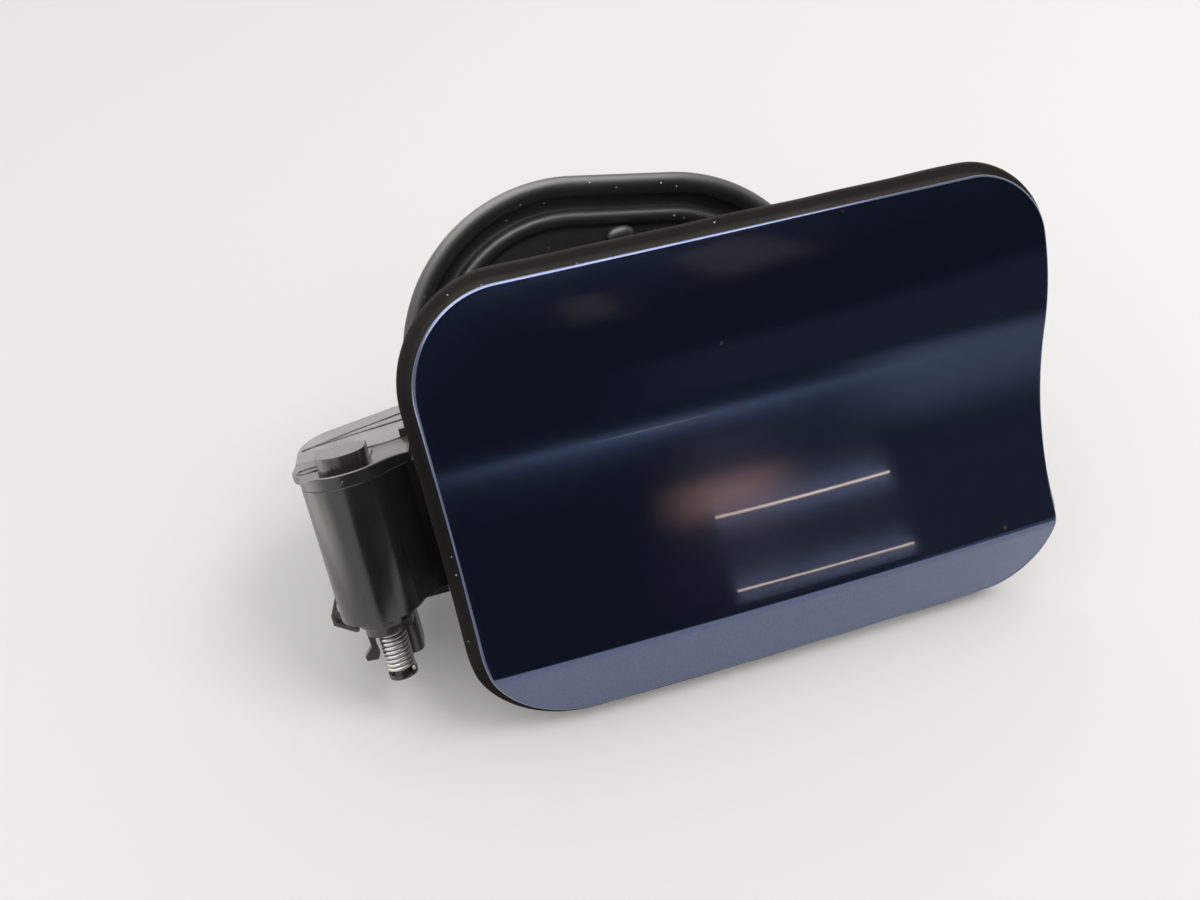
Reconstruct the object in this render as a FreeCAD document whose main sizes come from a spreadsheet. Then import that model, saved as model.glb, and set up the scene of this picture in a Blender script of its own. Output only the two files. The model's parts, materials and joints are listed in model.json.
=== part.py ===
"""Fuel filler flap of a car: painted flap, sprung hinge and rubber filler pot.

X runs to the right along the flap, Y into the body of the car and Z up, parallel to the hinge.
The origin is the centre of the filler neck's bore, in the front face of the pot's floor.
"""
import FreeCAD, Part
import math
import os
from types import SimpleNamespace

import Sketcher

V = FreeCAD.Vector

# Driving sizes in millimetres: name, value, what it is.
SIZES = [
    # Painted flap
    ("flap_width", 195, "painted panel, side to side"),
    ("flap_height", 139, "painted panel, top to bottom"),
    ("flap_corner", 27, "corner radius of the painted panel"),
    ("flap_centre_x", 31, "flap's centre, right of the neck"),
    ("flap_top_z", 43, "painted top edge"),
    ("flap_front_y", -81, "painted face at the top edge"),
    ("swell_drop", 50, "top edge down to where the swell turns hollow"),
    ("swell_depth", -1.2, "face there, behind the top edge"),
    ("swell_radius", 80, "radius of the swell"),
    ("crease_drop", 116, "top edge down to the crease"),
    ("crease_depth", -0.7, "face at the crease, behind the top edge"),
    ("foot_slope", 0.44, "lean of the strip below the crease"),
    ("brow_slope", 0.3, "lean of the face at the top edge"),
    ("panel_wall", 2.5, "painted panel's edge"),
    ("backing_wall", 3, "backing sheet"),
    ("backing_inset", 4, "backing's edge, inside the painted edge"),
    ("seal_neck", 3.5, "rim seal behind the panel, in front of its lip"),
    ("seal_lip", 3, "rim seal's lip, front to back"),
    ("seal_reach", 4.2, "rim seal, outside the painted edge"),
    ("fit_gap", 0.1, "play between pieces that sit together"),
    # Hinge
    ("hinge_outset", 25.7, "hinge axis, left of the painted edge"),
    ("hinge_y", -58.5, "hinge axis"),
    ("barrel_radius", 13.4, "hinge barrel"),
    ("barrel_top_z", -5, "upper end of the barrel"),
    ("barrel_length", 47.5, "hinge barrel"),
    ("barrel_neck", 9, "narrower foot of the barrel"),
    ("barrel_neck_length", 3.6, "narrower foot of the barrel"),
    ("arm_rise", 4.5, "arm's lower edge, above the barrel's foot"),
    ("arm_wall", 9, "arm, front to back"),
    ("arm_setback", 1.5, "arm's front, behind the hinge axis"),
    ("arm_blend", 7, "hollow between barrel and arm"),
    ("arm_step", 8, "slope between the arm's web and its flange"),
    ("flange_inset", 8.5, "arm's flange, inside the painted edge"),
    ("flange_length", 60, "arm's flange"),
    ("flange_wall", 5, "arm's flange"),
    ("arm_seat_y", -62, "face where arm and backing meet"),
    ("arm_pad_edge", 3, "backing's pad around the flange"),
    ("ear_gap", 0.3, "play between barrel and ears"),
    ("pin_radius", 2.8, "hinge pin"),
    ("pin_tail", 15.5, "pin below the lower ear"),
    ("pin_reach", 5, "pin inside the upper ear"),
    ("bush_radius", 4.6, "outside of the ear bushes"),
    ("bush_play", 0.05, "pin in its bushes"),
    ("cap_radius", 4.6, "pin cap"),
    ("cap_length", 1.5, "pin cap"),
    ("coil_radius", 3.9, "spring, middle of the wire"),
    ("wire_radius", 0.65, "spring wire"),
    ("coil_turns", 9, "turns of the spring"),
    # Hinge housing
    ("housing_outset", 13.8, "outside of the left wall, left of the hinge axis"),
    ("pot_clearance", 0.57, "housing to the pot's outer lip"),
    ("housing_front_y", -43.5, "front edge of the walls"),
    ("housing_back_y", -3, "right end of the rear wall"),
    ("housing_slant", 13, "rear wall, left end forward of the right"),
    ("housing_corner", 22, "rear left corner"),
    ("housing_wall", 3, "walls of the housing"),
    ("lid_overhang", 3.5, "lid, outside the left wall"),
    ("lid_corner", 16, "lid's rear left corner"),
    ("lid_height", 10, "lid at its rear edge"),
    ("lid_fall", 7.3, "lid's top, from its rear to its front edge"),
    ("lid_front", 1.1, "lid in front of the walls"),
    ("lid_wall", 3, "lid over its hollow"),
    ("ear_radius", 7.6, "rounded ears"),
    ("ear_height", 7.7, "upper ear"),
    ("ear_web", 2.5, "upper ear where it joins the lid"),
    ("floor_ear", 3, "lower ear"),
    ("fin_drop", 14, "fin below the lower ear"),
    ("fin_offset", 0.2, "spring axis to the fin, to the right"),
    ("fin_round", 3, "fin's outer edge"),
    ("fin_setback", 6, "spring axis to the fin, behind"),
    ("tab_reach", 13.3, "tab behind the pot's flange"),
    ("tab_height", 16, "tab behind the pot's flange"),
    ("hook_width", 9, "retaining clip"),
    ("hook_wall", 1.2, "retaining clip"),
    ("hook_length", 21, "retaining clip"),
    ("hook_drop", 6.7, "retaining clip below the lower ear"),
    ("hook_turn", 6.2, "retaining clip, outside the wall"),
    # Filler pot
    ("lip_centre_x", 2.4, "lips' centre, right of the neck"),
    ("lip_turn", -9, "lips' lean to the right, in degrees"),
    ("lip_width", 139.6, "middle of the outer lip"),
    ("lip_height", 124.6, "middle of the outer lip"),
    ("lip_flat", 17, "straight stretch of the lips' sides"),
    ("lip_spacing", 9.8, "outer lip to inner lip"),
    ("lip_bead", 3.2, "half the outer lip's width"),
    ("lip_round", 2, "outer lip's rounded front"),
    ("lip_y", -41, "middle of the outer lip"),
    ("inner_lip_bead", 2.5, "half the inner lip's width"),
    ("pot_flange_y", -38, "front of the flange between the lips"),
    ("pot_flange_wall", 3, "flange between the lips"),
    ("bowl_radius", 42, "inside of the pot"),
    ("pot_wall", 3, "wall of the pot"),
    ("neck_radius", 27, "bore for the filler neck"),
    ("collar_wall", 4, "collar round the neck"),
    ("collar_front", 6, "collar in front of the floor"),
    ("collar_back", 13, "collar behind the floor's front"),
    ("drain_offset", 26.2, "drain from the neck, both ways"),
    ("drain_radius", 3, "drain spigot"),
    ("drain_step", 0.5, "stem in the floor, wider than the spigot"),
    ("drain_wall", 1.4, "drain spigot"),
    ("drain_length", 20, "drain spigot behind the floor's front"),
    ("drain_flange", 1.2, "reach and thickness of the drain's flange"),
    ("rivet_radius", 1.1, "push rivets"),
    ("rivet_head", 1.7, "push rivets' heads"),
    ("rivet_head_wall", 1.2, "push rivets' heads"),
    ("rivet_turn", 8, "lower rivet, below the lip corner's level, in degrees"),
    ("rivet_spread", 12, "rivet to rivet round the lip's corner, in degrees"),
    # Back of the flap
    ("rear_seat_y", -66, "seats on the backing"),
    ("screw_radius", 2, "screws"),
    ("screw_head", 4, "screw heads"),
    ("screw_head_wall", 2.4, "screw heads"),
    ("screw_depth", 6, "screws in the backing"),
    ("arm_screw_inset", 10, "screws from the flange's ends"),
    ("arm_screw_pitch", 28, "screws along the hinge"),
    ("striker_inset", 16.5, "latch striker, inside the painted edge"),
    ("striker_height", 40, "striker's foot"),
    ("striker_foot", 16, "striker's foot"),
    ("striker_wall", 3, "striker"),
    ("striker_depth", 16, "striker's reach"),
    ("striker_hook", 8, "striker's hook"),
    ("striker_tongue", 14, "striker's hook"),
    ("striker_screw_pitch", 28, "striker screws"),
    ("buffer_inset", 22.5, "rubber buffers, inside the painted edge"),
    ("buffer_rise", 36, "buffers above and below the flap's middle"),
    ("buffer_radius", 6, "rubber buffers"),
    ("buffer_length", 8, "rubber buffers"),
    ("boss_radius", 8, "bosses under the buffers"),
    ("holder_shift", 11, "holder for the filler cap, right of the flap's middle"),
    ("holder_width", 26, "holder's foot"),
    ("holder_height", 18, "holder"),
    ("holder_wall", 2.5, "holder"),
    ("holder_depth", 11, "holder's reach"),
    ("holder_opening", 12, "holder's mouth"),
]


class Dim:
    """A length: its value and the expression that drives it."""

    def __init__(self, value, text):
        self.value = value
        self.text = text

    def join(self, sign, other, value):
        return Dim(value, "({} {} {})".format(self.text, sign, dim(other).text))

    def __add__(self, other):
        return self.join("+", other, self.value + dim(other).value)

    def __sub__(self, other):
        return self.join("-", other, self.value - dim(other).value)

    def __mul__(self, other):
        return self.join("*", other, self.value * dim(other).value)

    def __truediv__(self, other):
        return self.join("/", other, self.value / dim(other).value)

    def __neg__(self):
        return Dim(-self.value, "(0 - {})".format(self.text))


def dim(number):
    """A Dim as it is, or a plain number as one."""
    return number if isinstance(number, Dim) else Dim(float(number), "{:g}".format(number))


doc = FreeCAD.newDocument("filler_flap")
sheet = doc.addObject("Spreadsheet::Sheet", "Sizes")
for row, (name, size, note) in enumerate(SIZES, start=1):
    sheet.set("A{}".format(row), name)
    sheet.set("B{}".format(row), str(size))
    sheet.setAlias("B{}".format(row), name)
    sheet.set("C{}".format(row), note)
doc.recompute()
s = SimpleNamespace(**{name: Dim(float(size), "Sizes." + name) for name, size, _ in SIZES})


def turned(name, function, angle):
    """Sine or cosine of an angle in degrees."""
    return Dim(function(math.radians(angle.value)), "{}({} * 1 deg)".format(name, angle.text))


# Places that follow from the sizes.
FLAP_LEFT_X = s.flap_centre_x - s.flap_width / 2
FLAP_RIGHT_X = s.flap_centre_x + s.flap_width / 2
HINGE_X = FLAP_LEFT_X - s.hinge_outset
ARM_HEIGHT = s.barrel_length - s.arm_rise
FLANGE_START_X = FLAP_LEFT_X + s.flange_inset
FLANGE_END_X = FLANGE_START_X + s.flange_length
WEB_END_X = FLANGE_START_X - s.arm_step
STRIKER_X = FLAP_RIGHT_X - s.striker_inset
BUFFER_X = FLAP_RIGHT_X - s.buffer_inset
HOLDER_X = s.flap_centre_x + s.holder_shift
LIP_CORNER = (s.lip_height - s.lip_flat) / 2
INNER_LIP_WIDTH = s.lip_width - s.lip_spacing * 2
INNER_LIP_HEIGHT = s.lip_height - s.lip_spacing * 2
INNER_LIP_CORNER = LIP_CORNER - s.lip_spacing
# Both lips turn round one centre at their lower left corner, and the rivets sit midway between them.
LIP_COS, LIP_SIN = turned("cos", math.cos, s.lip_turn), turned("sin", math.sin, s.lip_turn)
CORNER_LEFT, CORNER_LOW = s.lip_width / 2 - LIP_CORNER, s.lip_flat / 2
CORNER_X = s.lip_centre_x - CORNER_LEFT * LIP_COS + CORNER_LOW * LIP_SIN
CORNER_Z = -(CORNER_LEFT * LIP_SIN + CORNER_LOW * LIP_COS)
RIVET_REACH = (LIP_CORNER - s.lip_bead + INNER_LIP_CORNER + s.inner_lip_bead) / 2
RIVETS = [(CORNER_X - RIVET_REACH * turned("cos", math.cos, angle),
           CORNER_Z - RIVET_REACH * turned("sin", math.sin, angle))
          for angle in (s.rivet_turn - s.rivet_spread, s.rivet_turn)]
TAB_MIDDLE_Z = (RIVETS[0][1] + RIVETS[1][1]) / 2
HOUSING_LEFT_X = HINGE_X - s.housing_outset
HOUSING_RIGHT_X = CORNER_X - LIP_CORNER - s.lip_bead - s.pot_clearance

SHEET_MARGIN = dim(10)  # flap sections run this far past the painted edge before they are trimmed
CUT = s.flap_height  # length of a cut that has to pass a whole sheet


def new_body(label):
    body = doc.addObject("PartDesign::Body", label)
    body.Label = label
    return body


def new_sketch(body, role, offset=None):
    """A sketch on one of the body's origin planes; XZ faces -Y, YZ faces +X and XY faces +Z."""
    sketch = body.newObject("Sketcher::SketchObject", "Sketch")
    plane = next(f for f in body.Origin.OriginFeatures if f.Role == role)
    sketch.AttachmentSupport = [(plane, "")]
    sketch.MapMode = "FlatFace"
    if offset is not None:
        sketch.setExpression("AttachmentOffset.Base.z", dim(offset).text)
    return sketch


def constrain(sketch, size, *constraint):
    index = sketch.addConstraint(Sketcher.Constraint(*constraint, size.value))
    sketch.setExpression("Constraints[{}]".format(index), size.text)


def pin_point(sketch, edge, end, x, y):
    constrain(sketch, dim(x), "DistanceX", -1, 1, edge, end)
    constrain(sketch, dim(y), "DistanceY", -1, 1, edge, end)


def point(x, y):
    return V(dim(x).value, dim(y).value, 0)


def polygon(sketch, corners):
    pairs = list(zip(corners, corners[1:] + corners[:1]))
    lines = [sketch.addGeometry(Part.LineSegment(point(*a), point(*b)), False) for a, b in pairs]
    for line, following in zip(lines, lines[1:] + lines[:1]):
        sketch.addConstraint(Sketcher.Constraint("Coincident", line, 2, following, 1))
    for line, corner in zip(lines, corners):
        pin_point(sketch, line, 1, *corner)


def circle(sketch, x, y, radius):
    edge = sketch.addGeometry(Part.Circle(point(x, y), V(0, 0, 1), radius.value), False)
    pin_point(sketch, edge, 3, x, y)
    constrain(sketch, radius, "Radius", edge)


def rectangle(sketch, x, y, width, height):
    left, right = dim(x) - width / 2, dim(x) + width / 2
    low, high = dim(y) - height / 2, dim(y) + height / 2
    polygon(sketch, [(left, low), (right, low), (right, high), (left, high)])


def rounded_rectangle(sketch, x, y, width, height, corner, turn=None):
    """Four arcs about pinned centres and the four lines that touch them, turned about the middle."""
    turn = turn or dim(0)
    angle = math.radians(turn.value)
    cosine = Dim(math.cos(angle), "cos({} * 1 deg)".format(turn.text))
    sine = Dim(math.sin(angle), "sin({} * 1 deg)".format(turn.text))
    across, along = width / 2 - corner, height / 2 - corner
    centres = []
    for right, up in ((1, 1), (-1, 1), (-1, -1), (1, -1)):
        centres.append((dim(x) + across * right * cosine - along * up * sine,
                        dim(y) + across * right * sine + along * up * cosine))
    quarter = math.pi / 2
    arcs = []
    for number, centre in enumerate(centres):
        ring = Part.Circle(point(*centre), V(0, 0, 1), corner.value)
        arc = Part.ArcOfCircle(ring, angle + number * quarter, angle + (number + 1) * quarter)
        arcs.append(sketch.addGeometry(arc, False))
    for arc, following in zip(arcs, arcs[1:] + arcs[:1]):
        start = sketch.Geometry[arc].EndPoint
        end = sketch.Geometry[following].StartPoint
        line = sketch.addGeometry(Part.LineSegment(start, end), False)
        sketch.addConstraint(Sketcher.Constraint("Tangent", arc, 2, line, 1))
        sketch.addConstraint(Sketcher.Constraint("Tangent", line, 2, following, 1))
    for arc, centre in zip(arcs, centres):
        pin_point(sketch, arc, 3, *centre)
        constrain(sketch, corner, "Radius", arc)


def pad(body, sketch, length, backwards=False):
    feature = body.newObject("PartDesign::Pad", "Pad")
    feature.Profile = sketch
    feature.setExpression("Length", dim(length).text)
    feature.Reversed = backwards
    body.Tip = feature
    doc.recompute()
    return feature


def pocket(body, sketch, length, forwards=False):
    """A cut against the sketch's facing, or along it."""
    before = body.Shape.Volume
    feature = body.newObject("PartDesign::Pocket", "Pocket")
    feature.Profile = sketch
    feature.setExpression("Length", dim(length).text)
    feature.Reversed = forwards
    body.Tip = feature
    doc.recompute()
    if body.Shape.Volume >= before:
        raise RuntimeError("a cut in {} removes nothing".format(body.Label))
    return feature


def fillet(body, radius, wanted):
    """Round the edges of the body that the test picks."""
    edges = ["Edge{}".format(i) for i, e in enumerate(body.Shape.Edges, start=1) if wanted(e)]
    if not edges:
        raise RuntimeError("no edge to round in {}".format(body.Label))
    base = body.Tip
    feature = body.newObject("PartDesign::Fillet", "Fillet")
    feature.Base = (base, edges)
    feature.setExpression("Radius", radius.text)
    body.Tip = feature
    doc.recompute()


def stands_at(x, y, length):
    """A test for the edge along Z at one place."""
    spot = point(x, y)

    def test(edge):
        ends = [v.Point for v in edge.Vertexes]
        upright = len(ends) == 2 and all((V(p.x, p.y, 0) - spot).Length < 0.01 for p in ends)
        return upright and abs(edge.Length - length.value) < 0.01
    return test


def place(solid, x, y, z):
    for letter, distance in zip("xyz", (x, y, z)):
        solid.setExpression("Placement.Base." + letter, dim(distance).text)


def place_along_y(solid, x, y, z):
    """Turn a Part primitive from +Z to +Y and put its start at a point."""
    solid.Placement = FreeCAD.Placement(V(), FreeCAD.Rotation(V(1, 0, 0), -90))
    place(solid, x, y, z)


def cylinder(label, radius, length, x, y, z, put=place_along_y):
    rod = doc.addObject("Part::Cylinder", label)
    rod.setExpression("Radius", dim(radius).text)
    rod.setExpression("Height", dim(length).text)
    put(rod, x, y, z)
    return rod


def fused(label, pieces):
    whole = doc.addObject("Part::MultiFuse", label)
    whole.Shapes = pieces
    return whole


def cut(label, base, tool):
    part = doc.addObject("Part::Cut", label)
    part.Base = base
    part.Tool = tool
    return part


def group(label, pieces):
    whole = doc.addObject("Part::Compound", label)
    whole.Links = pieces
    return whole


# Flap: the painted panel, its backing and its seal share one swept section.
FLAP_MIDDLE_Z = s.flap_top_z - s.flap_height / 2
FLAP_FOOT_Z = s.flap_top_z - s.flap_height


def flap_section(body, front, back):
    """Section of the flap between two depths behind the painted face."""
    sketch = new_sketch(body, "YZ_Plane", s.flap_centre_x - s.flap_width / 2 - SHEET_MARGIN)
    ends = []
    for depth in (front, back):
        face = s.flap_front_y + depth
        brow = (face + s.brow_slope * SHEET_MARGIN, s.flap_top_z + SHEET_MARGIN)
        top = (face, s.flap_top_z)
        swell = (face + s.swell_depth, s.flap_top_z - s.swell_drop)
        crease = (face + s.crease_depth, s.flap_top_z - s.crease_drop)
        foot_run = s.flap_height - s.crease_drop + SHEET_MARGIN
        foot = (crease[0] + s.foot_slope * foot_run, FLAP_FOOT_Z - SHEET_MARGIN)
        ends.append(flap_face(sketch, brow, top, swell, crease, foot))
    (front_brow, front_foot), (back_brow, back_foot) = ends
    for near, near_end, far, far_end in ((front_brow, 1, back_brow, 1), (front_foot, 2, back_foot, 2)):
        start = sketch.getPoint(near, near_end)
        end = sketch.getPoint(far, far_end)
        line = sketch.addGeometry(Part.LineSegment(start, end), False)
        sketch.addConstraint(Sketcher.Constraint("Coincident", line, 1, near, near_end))
        sketch.addConstraint(Sketcher.Constraint("Coincident", line, 2, far, far_end))
    return sketch


def flap_face(sketch, brow, top, swell, crease, foot):
    """Brow line, swell arc, hollow arc that leaves it smoothly, and foot line."""
    a, b, c = point(*top), point(*swell), point(*crease)
    half = (b - a) / 2
    side = V(-half.y, half.x, 0).normalize()
    radius = s.swell_radius.value
    reach = math.sqrt(radius * radius - half.Length ** 2)
    swell_centre = a + half + side * reach if side.x > 0 else a + half - side * reach
    outward = (b - swell_centre).normalize()
    chord = c - b
    hollow_radius = chord.dot(chord) / (2 * chord.dot(outward))
    hollow_centre = b + outward * hollow_radius
    swell_mid = swell_centre + (a + half - swell_centre).normalize() * radius
    hollow_mid = hollow_centre + ((b + c) / 2 - hollow_centre).normalize() * abs(hollow_radius)
    brow_line = sketch.addGeometry(Part.LineSegment(point(*brow), a), False)
    swell_arc = sketch.addGeometry(Part.Arc(a, swell_mid, b), False)
    hollow_arc = sketch.addGeometry(Part.Arc(b, hollow_mid, c), False)
    foot_line = sketch.addGeometry(Part.LineSegment(c, point(*foot)), False)
    joints = [arc_end(sketch, swell_arc, a), arc_end(sketch, swell_arc, b)]
    joints += [arc_end(sketch, hollow_arc, b), arc_end(sketch, hollow_arc, c)]
    sketch.addConstraint(Sketcher.Constraint("Coincident", brow_line, 2, swell_arc, joints[0]))
    sketch.addConstraint(Sketcher.Constraint("Tangent", swell_arc, joints[1], hollow_arc, joints[2]))
    sketch.addConstraint(Sketcher.Constraint("Coincident", foot_line, 1, hollow_arc, joints[3]))
    pin_point(sketch, brow_line, 1, *brow)
    pin_point(sketch, swell_arc, joints[0], *top)
    pin_point(sketch, swell_arc, joints[1], *swell)
    pin_point(sketch, hollow_arc, joints[3], *crease)
    pin_point(sketch, foot_line, 2, *foot)
    constrain(sketch, s.swell_radius, "Radius", swell_arc)
    return brow_line, foot_line


def arc_end(sketch, arc, spot):
    """Which end of a sketch's arc, 1 or 2, lies at the point."""
    return 1 if (sketch.getPoint(arc, 1) - spot).Length < (sketch.getPoint(arc, 2) - spot).Length else 2


def flap_sheet(body, front, back):
    """The section drawn out along the flap, past both ends."""
    pad(body, flap_section(body, front, back), s.flap_width + SHEET_MARGIN * 2)


def trim_outside(body, grow):
    """Cut away the sheet outside the painted outline, grown by a distance."""
    sketch = new_sketch(body, "XZ_Plane", -s.flap_front_y + CUT / 2)
    rounded_rectangle(sketch, s.flap_centre_x, FLAP_MIDDLE_Z, s.flap_width + grow * 2,
                      s.flap_height + grow * 2, s.flap_corner + grow)
    rectangle(sketch, s.flap_centre_x, FLAP_MIDDLE_Z, s.flap_width * 2, s.flap_height * 2)
    pocket(body, sketch, CUT)


def trim_inside(body, grow):
    sketch = new_sketch(body, "XZ_Plane", -s.flap_front_y + CUT / 2)
    rounded_rectangle(sketch, s.flap_centre_x, FLAP_MIDDLE_Z, s.flap_width + grow * 2,
                      s.flap_height + grow * 2, s.flap_corner + grow)
    pocket(body, sketch, CUT)


def flap_panel():
    body = new_body("flap_panel")
    flap_sheet(body, dim(0), s.panel_wall)
    trim_outside(body, dim(0))
    return body


def rim_seal():
    """Rubber ring behind the panel's edge, with a lip that stands out past the paint."""
    body = new_body("rim_seal")
    front = s.panel_wall + s.fit_gap
    flap_sheet(body, front, front + s.seal_neck)
    trim_outside(body, dim(0))
    flap_sheet(body, front + s.seal_neck, front + s.seal_neck + s.seal_lip)
    trim_outside(body, s.seal_reach)
    trim_inside(body, -s.backing_inset)
    return body


ARM_TOP_Z = s.barrel_top_z
ARM_MIDDLE_Z = ARM_TOP_Z - ARM_HEIGHT / 2
FLANGE_MIDDLE_X = (FLANGE_START_X + FLANGE_END_X) / 2
ARM_SCREWS = [(x, ARM_MIDDLE_Z + rise)
              for x in (FLANGE_START_X + s.arm_screw_inset, FLANGE_END_X - s.arm_screw_inset)
              for rise in (s.arm_screw_pitch / 2, -s.arm_screw_pitch / 2)]
STRIKER_SCREWS = [(STRIKER_X, FLAP_MIDDLE_Z + rise)
                  for rise in (s.striker_screw_pitch / 2, -s.striker_screw_pitch / 2)]
BUFFERS = {"upper_buffer": FLAP_MIDDLE_Z + s.buffer_rise, "lower_buffer": FLAP_MIDDLE_Z - s.buffer_rise}
HOLDER_Z = FLAP_MIDDLE_Z


def flap_backing():
    """Moulded sheet behind the panel, with seats for what the flap carries."""
    body = new_body("flap_backing")
    front = s.panel_wall + s.fit_gap
    flap_sheet(body, front, front + s.backing_wall)
    trim_outside(body, -s.backing_inset - s.fit_gap)

    arm_seat = new_sketch(body, "XZ_Plane", -s.arm_seat_y)
    rectangle(arm_seat, FLANGE_MIDDLE_X, ARM_MIDDLE_Z, s.flange_length + s.arm_pad_edge * 2,
              ARM_HEIGHT + s.arm_pad_edge * 2)
    pad(body, arm_seat, CUT / 2)
    rear_seats = [("striker", STRIKER_X, FLAP_MIDDLE_Z, s.striker_foot, s.striker_height),
                  ("holder", HOLDER_X, HOLDER_Z, s.holder_width, s.holder_height)]
    for _, x, z, width, height in rear_seats:
        seat = new_sketch(body, "XZ_Plane", -s.rear_seat_y)
        rectangle(seat, x, z, width, height)
        pad(body, seat, CUT / 2)
    for z in BUFFERS.values():
        seat = new_sketch(body, "XZ_Plane", -s.rear_seat_y)
        circle(seat, BUFFER_X, z, s.boss_radius)
        pad(body, seat, CUT / 2)

    # What stands through to the front is cut off behind the painted panel.
    pocket(body, flap_section(body, front - CUT / 2, front), s.flap_width + SHEET_MARGIN * 2, forwards=True)

    for seat_y, places in ((s.arm_seat_y, ARM_SCREWS), (s.rear_seat_y, STRIKER_SCREWS)):
        for x, z in places:
            hole = new_sketch(body, "XZ_Plane", -seat_y)
            circle(hole, x, z, s.screw_radius + s.fit_gap)
            pocket(body, hole, s.screw_depth + s.fit_gap, forwards=True)
    return body


def hinge_arm():
    """Barrel, hollow web and the flange that the backing is screwed to."""
    body = new_body("hinge_arm")
    front = s.hinge_y + s.arm_setback
    back = front + s.arm_wall
    flange_back = s.arm_seat_y + s.flange_wall
    # The web leaves the barrel at 45 degrees, just inside its surface.
    leave = s.barrel_radius * 0.69
    hollow_x = HINGE_X + leave * 2 + s.arm_setback
    web = new_sketch(body, "XY_Plane", ARM_TOP_Z - ARM_HEIGHT)
    polygon(web, [(HINGE_X, s.hinge_y), (HINGE_X + leave, s.hinge_y - leave), (hollow_x, front),
                  (WEB_END_X, front), (FLANGE_START_X, s.arm_seat_y),
                  (FLANGE_END_X, s.arm_seat_y), (FLANGE_END_X, flange_back),
                  (FLANGE_START_X, flange_back), (WEB_END_X, back), (HINGE_X, back)])
    pad(body, web, ARM_HEIGHT)
    fillet(body, s.arm_blend, stands_at(hollow_x, front, ARM_HEIGHT))
    foot_z = s.barrel_top_z - s.barrel_length
    for radius, low in ((s.barrel_radius, foot_z + s.barrel_neck_length), (s.barrel_neck, foot_z)):
        barrel = new_sketch(body, "XY_Plane", low)
        circle(barrel, HINGE_X, s.hinge_y, radius)
        pad(body, barrel, s.barrel_top_z - low)
    bore = new_sketch(body, "XY_Plane", s.barrel_top_z)
    circle(bore, HINGE_X, s.hinge_y, s.pin_radius + s.bush_play)
    pocket(body, bore, s.barrel_length)
    for x, z in ARM_SCREWS:
        hole = new_sketch(body, "XZ_Plane", -flange_back)
        circle(hole, x, z, s.screw_radius + s.fit_gap)
        pocket(body, hole, s.flange_wall, forwards=True)
    return body


def screws(label, places, face_y, through):
    """Screws along Y: head on a face, shank forward through it."""
    made = []
    for number, (x, z) in enumerate(places):
        shank_length = through + s.screw_depth
        shank = cylinder(label + "_shank", s.screw_radius, shank_length, x, face_y - shank_length, z)
        head = doc.addObject("Part::Prism", label + "_head")
        head.Polygon = 6
        head.setExpression("Circumradius", s.screw_head.text)
        head.setExpression("Height", s.screw_head_wall.text)
        place_along_y(head, x, face_y, z)
        made.append(fused("{}_{}".format(label, number), [shank, head]))
    return group(label, made)


# Hinge: pin, bushes, cap and spring on one axis.
BARREL_FOOT_Z = s.barrel_top_z - s.barrel_length
EAR_UNDER_Z = s.barrel_top_z + s.ear_gap
LID_TOP_Z = EAR_UNDER_Z + s.ear_height
LID_FOOT_Z = LID_TOP_Z - s.lid_height
LID_FRONT_Y = s.housing_front_y - s.lid_front
LOWER_EAR_TOP_Z = BARREL_FOOT_Z - s.ear_gap
LOWER_EAR_FOOT_Z = LOWER_EAR_TOP_Z - s.floor_ear
PIN_FOOT_Z = LOWER_EAR_FOOT_Z - s.pin_tail
COIL_HEIGHT = s.pin_tail - s.ear_gap * 2 - s.wire_radius * 2
STEPS_PER_TURN = 10  # straight steps that stand for one turn of the spring


def on_axis(label, radius, low, length):
    return cylinder(label, radius, length, HINGE_X, s.hinge_y, low, place)


def hinge_pin():
    return on_axis("hinge_pin", s.pin_radius, PIN_FOOT_Z, EAR_UNDER_Z + s.pin_reach - PIN_FOOT_Z)


def bush(label, low, length):
    outer = on_axis(label + "_outer", s.bush_radius, low, length)
    inner = on_axis(label + "_inner", s.pin_radius + s.bush_play, low, length)
    return cut(label, outer, inner)


def pin_cap():
    return on_axis("pin_cap", s.cap_radius, PIN_FOOT_Z - s.cap_length, s.cap_length)


def closing_spring():
    """Coil round the pin's tail: a six-sided wire along short straight steps."""
    steps = [2 * math.pi * k / STEPS_PER_TURN for k in range(int(s.coil_turns.value) * STEPS_PER_TURN + 1)]
    radius, wire = s.coil_radius.value, s.wire_radius.value
    pitch = COIL_HEIGHT.value / s.coil_turns.value
    path = Part.makePolygon([V(radius * math.cos(a), radius * math.sin(a), pitch * a / (2 * math.pi))
                             for a in steps])
    sides = [k * math.pi / 3 for k in range(6)]
    corners = [V(radius + wire * math.cos(a), 0, wire * math.sin(a)) for a in sides]
    section = Part.makePolygon(corners + corners[:1])
    feature = doc.addObject("Part::Feature", "closing_spring")
    feature.Shape = Part.Wire(path.Edges).makePipeShell([section], True, True, 1)
    place(feature, HINGE_X, s.hinge_y, LOWER_EAR_FOOT_Z - s.ear_gap - s.wire_radius - COIL_HEIGHT)
    return feature


def housing_outline(inset, front_y, overhang=dim(0)):
    """Plan of the hinge housing: open front, slanted rear wall."""
    left, right = HOUSING_LEFT_X + inset - overhang, HOUSING_RIGHT_X - inset
    rear = s.housing_back_y - inset
    return [(left, front_y), (right, front_y), (right, rear), (left, rear - s.housing_slant)]


def lid_line(down):
    """Front and rear end of the lid's slope, at some depth below its top."""
    return [(LID_FRONT_Y, LID_TOP_Z - s.lid_fall - down), (s.housing_back_y, LID_TOP_Z - down)]


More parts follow.
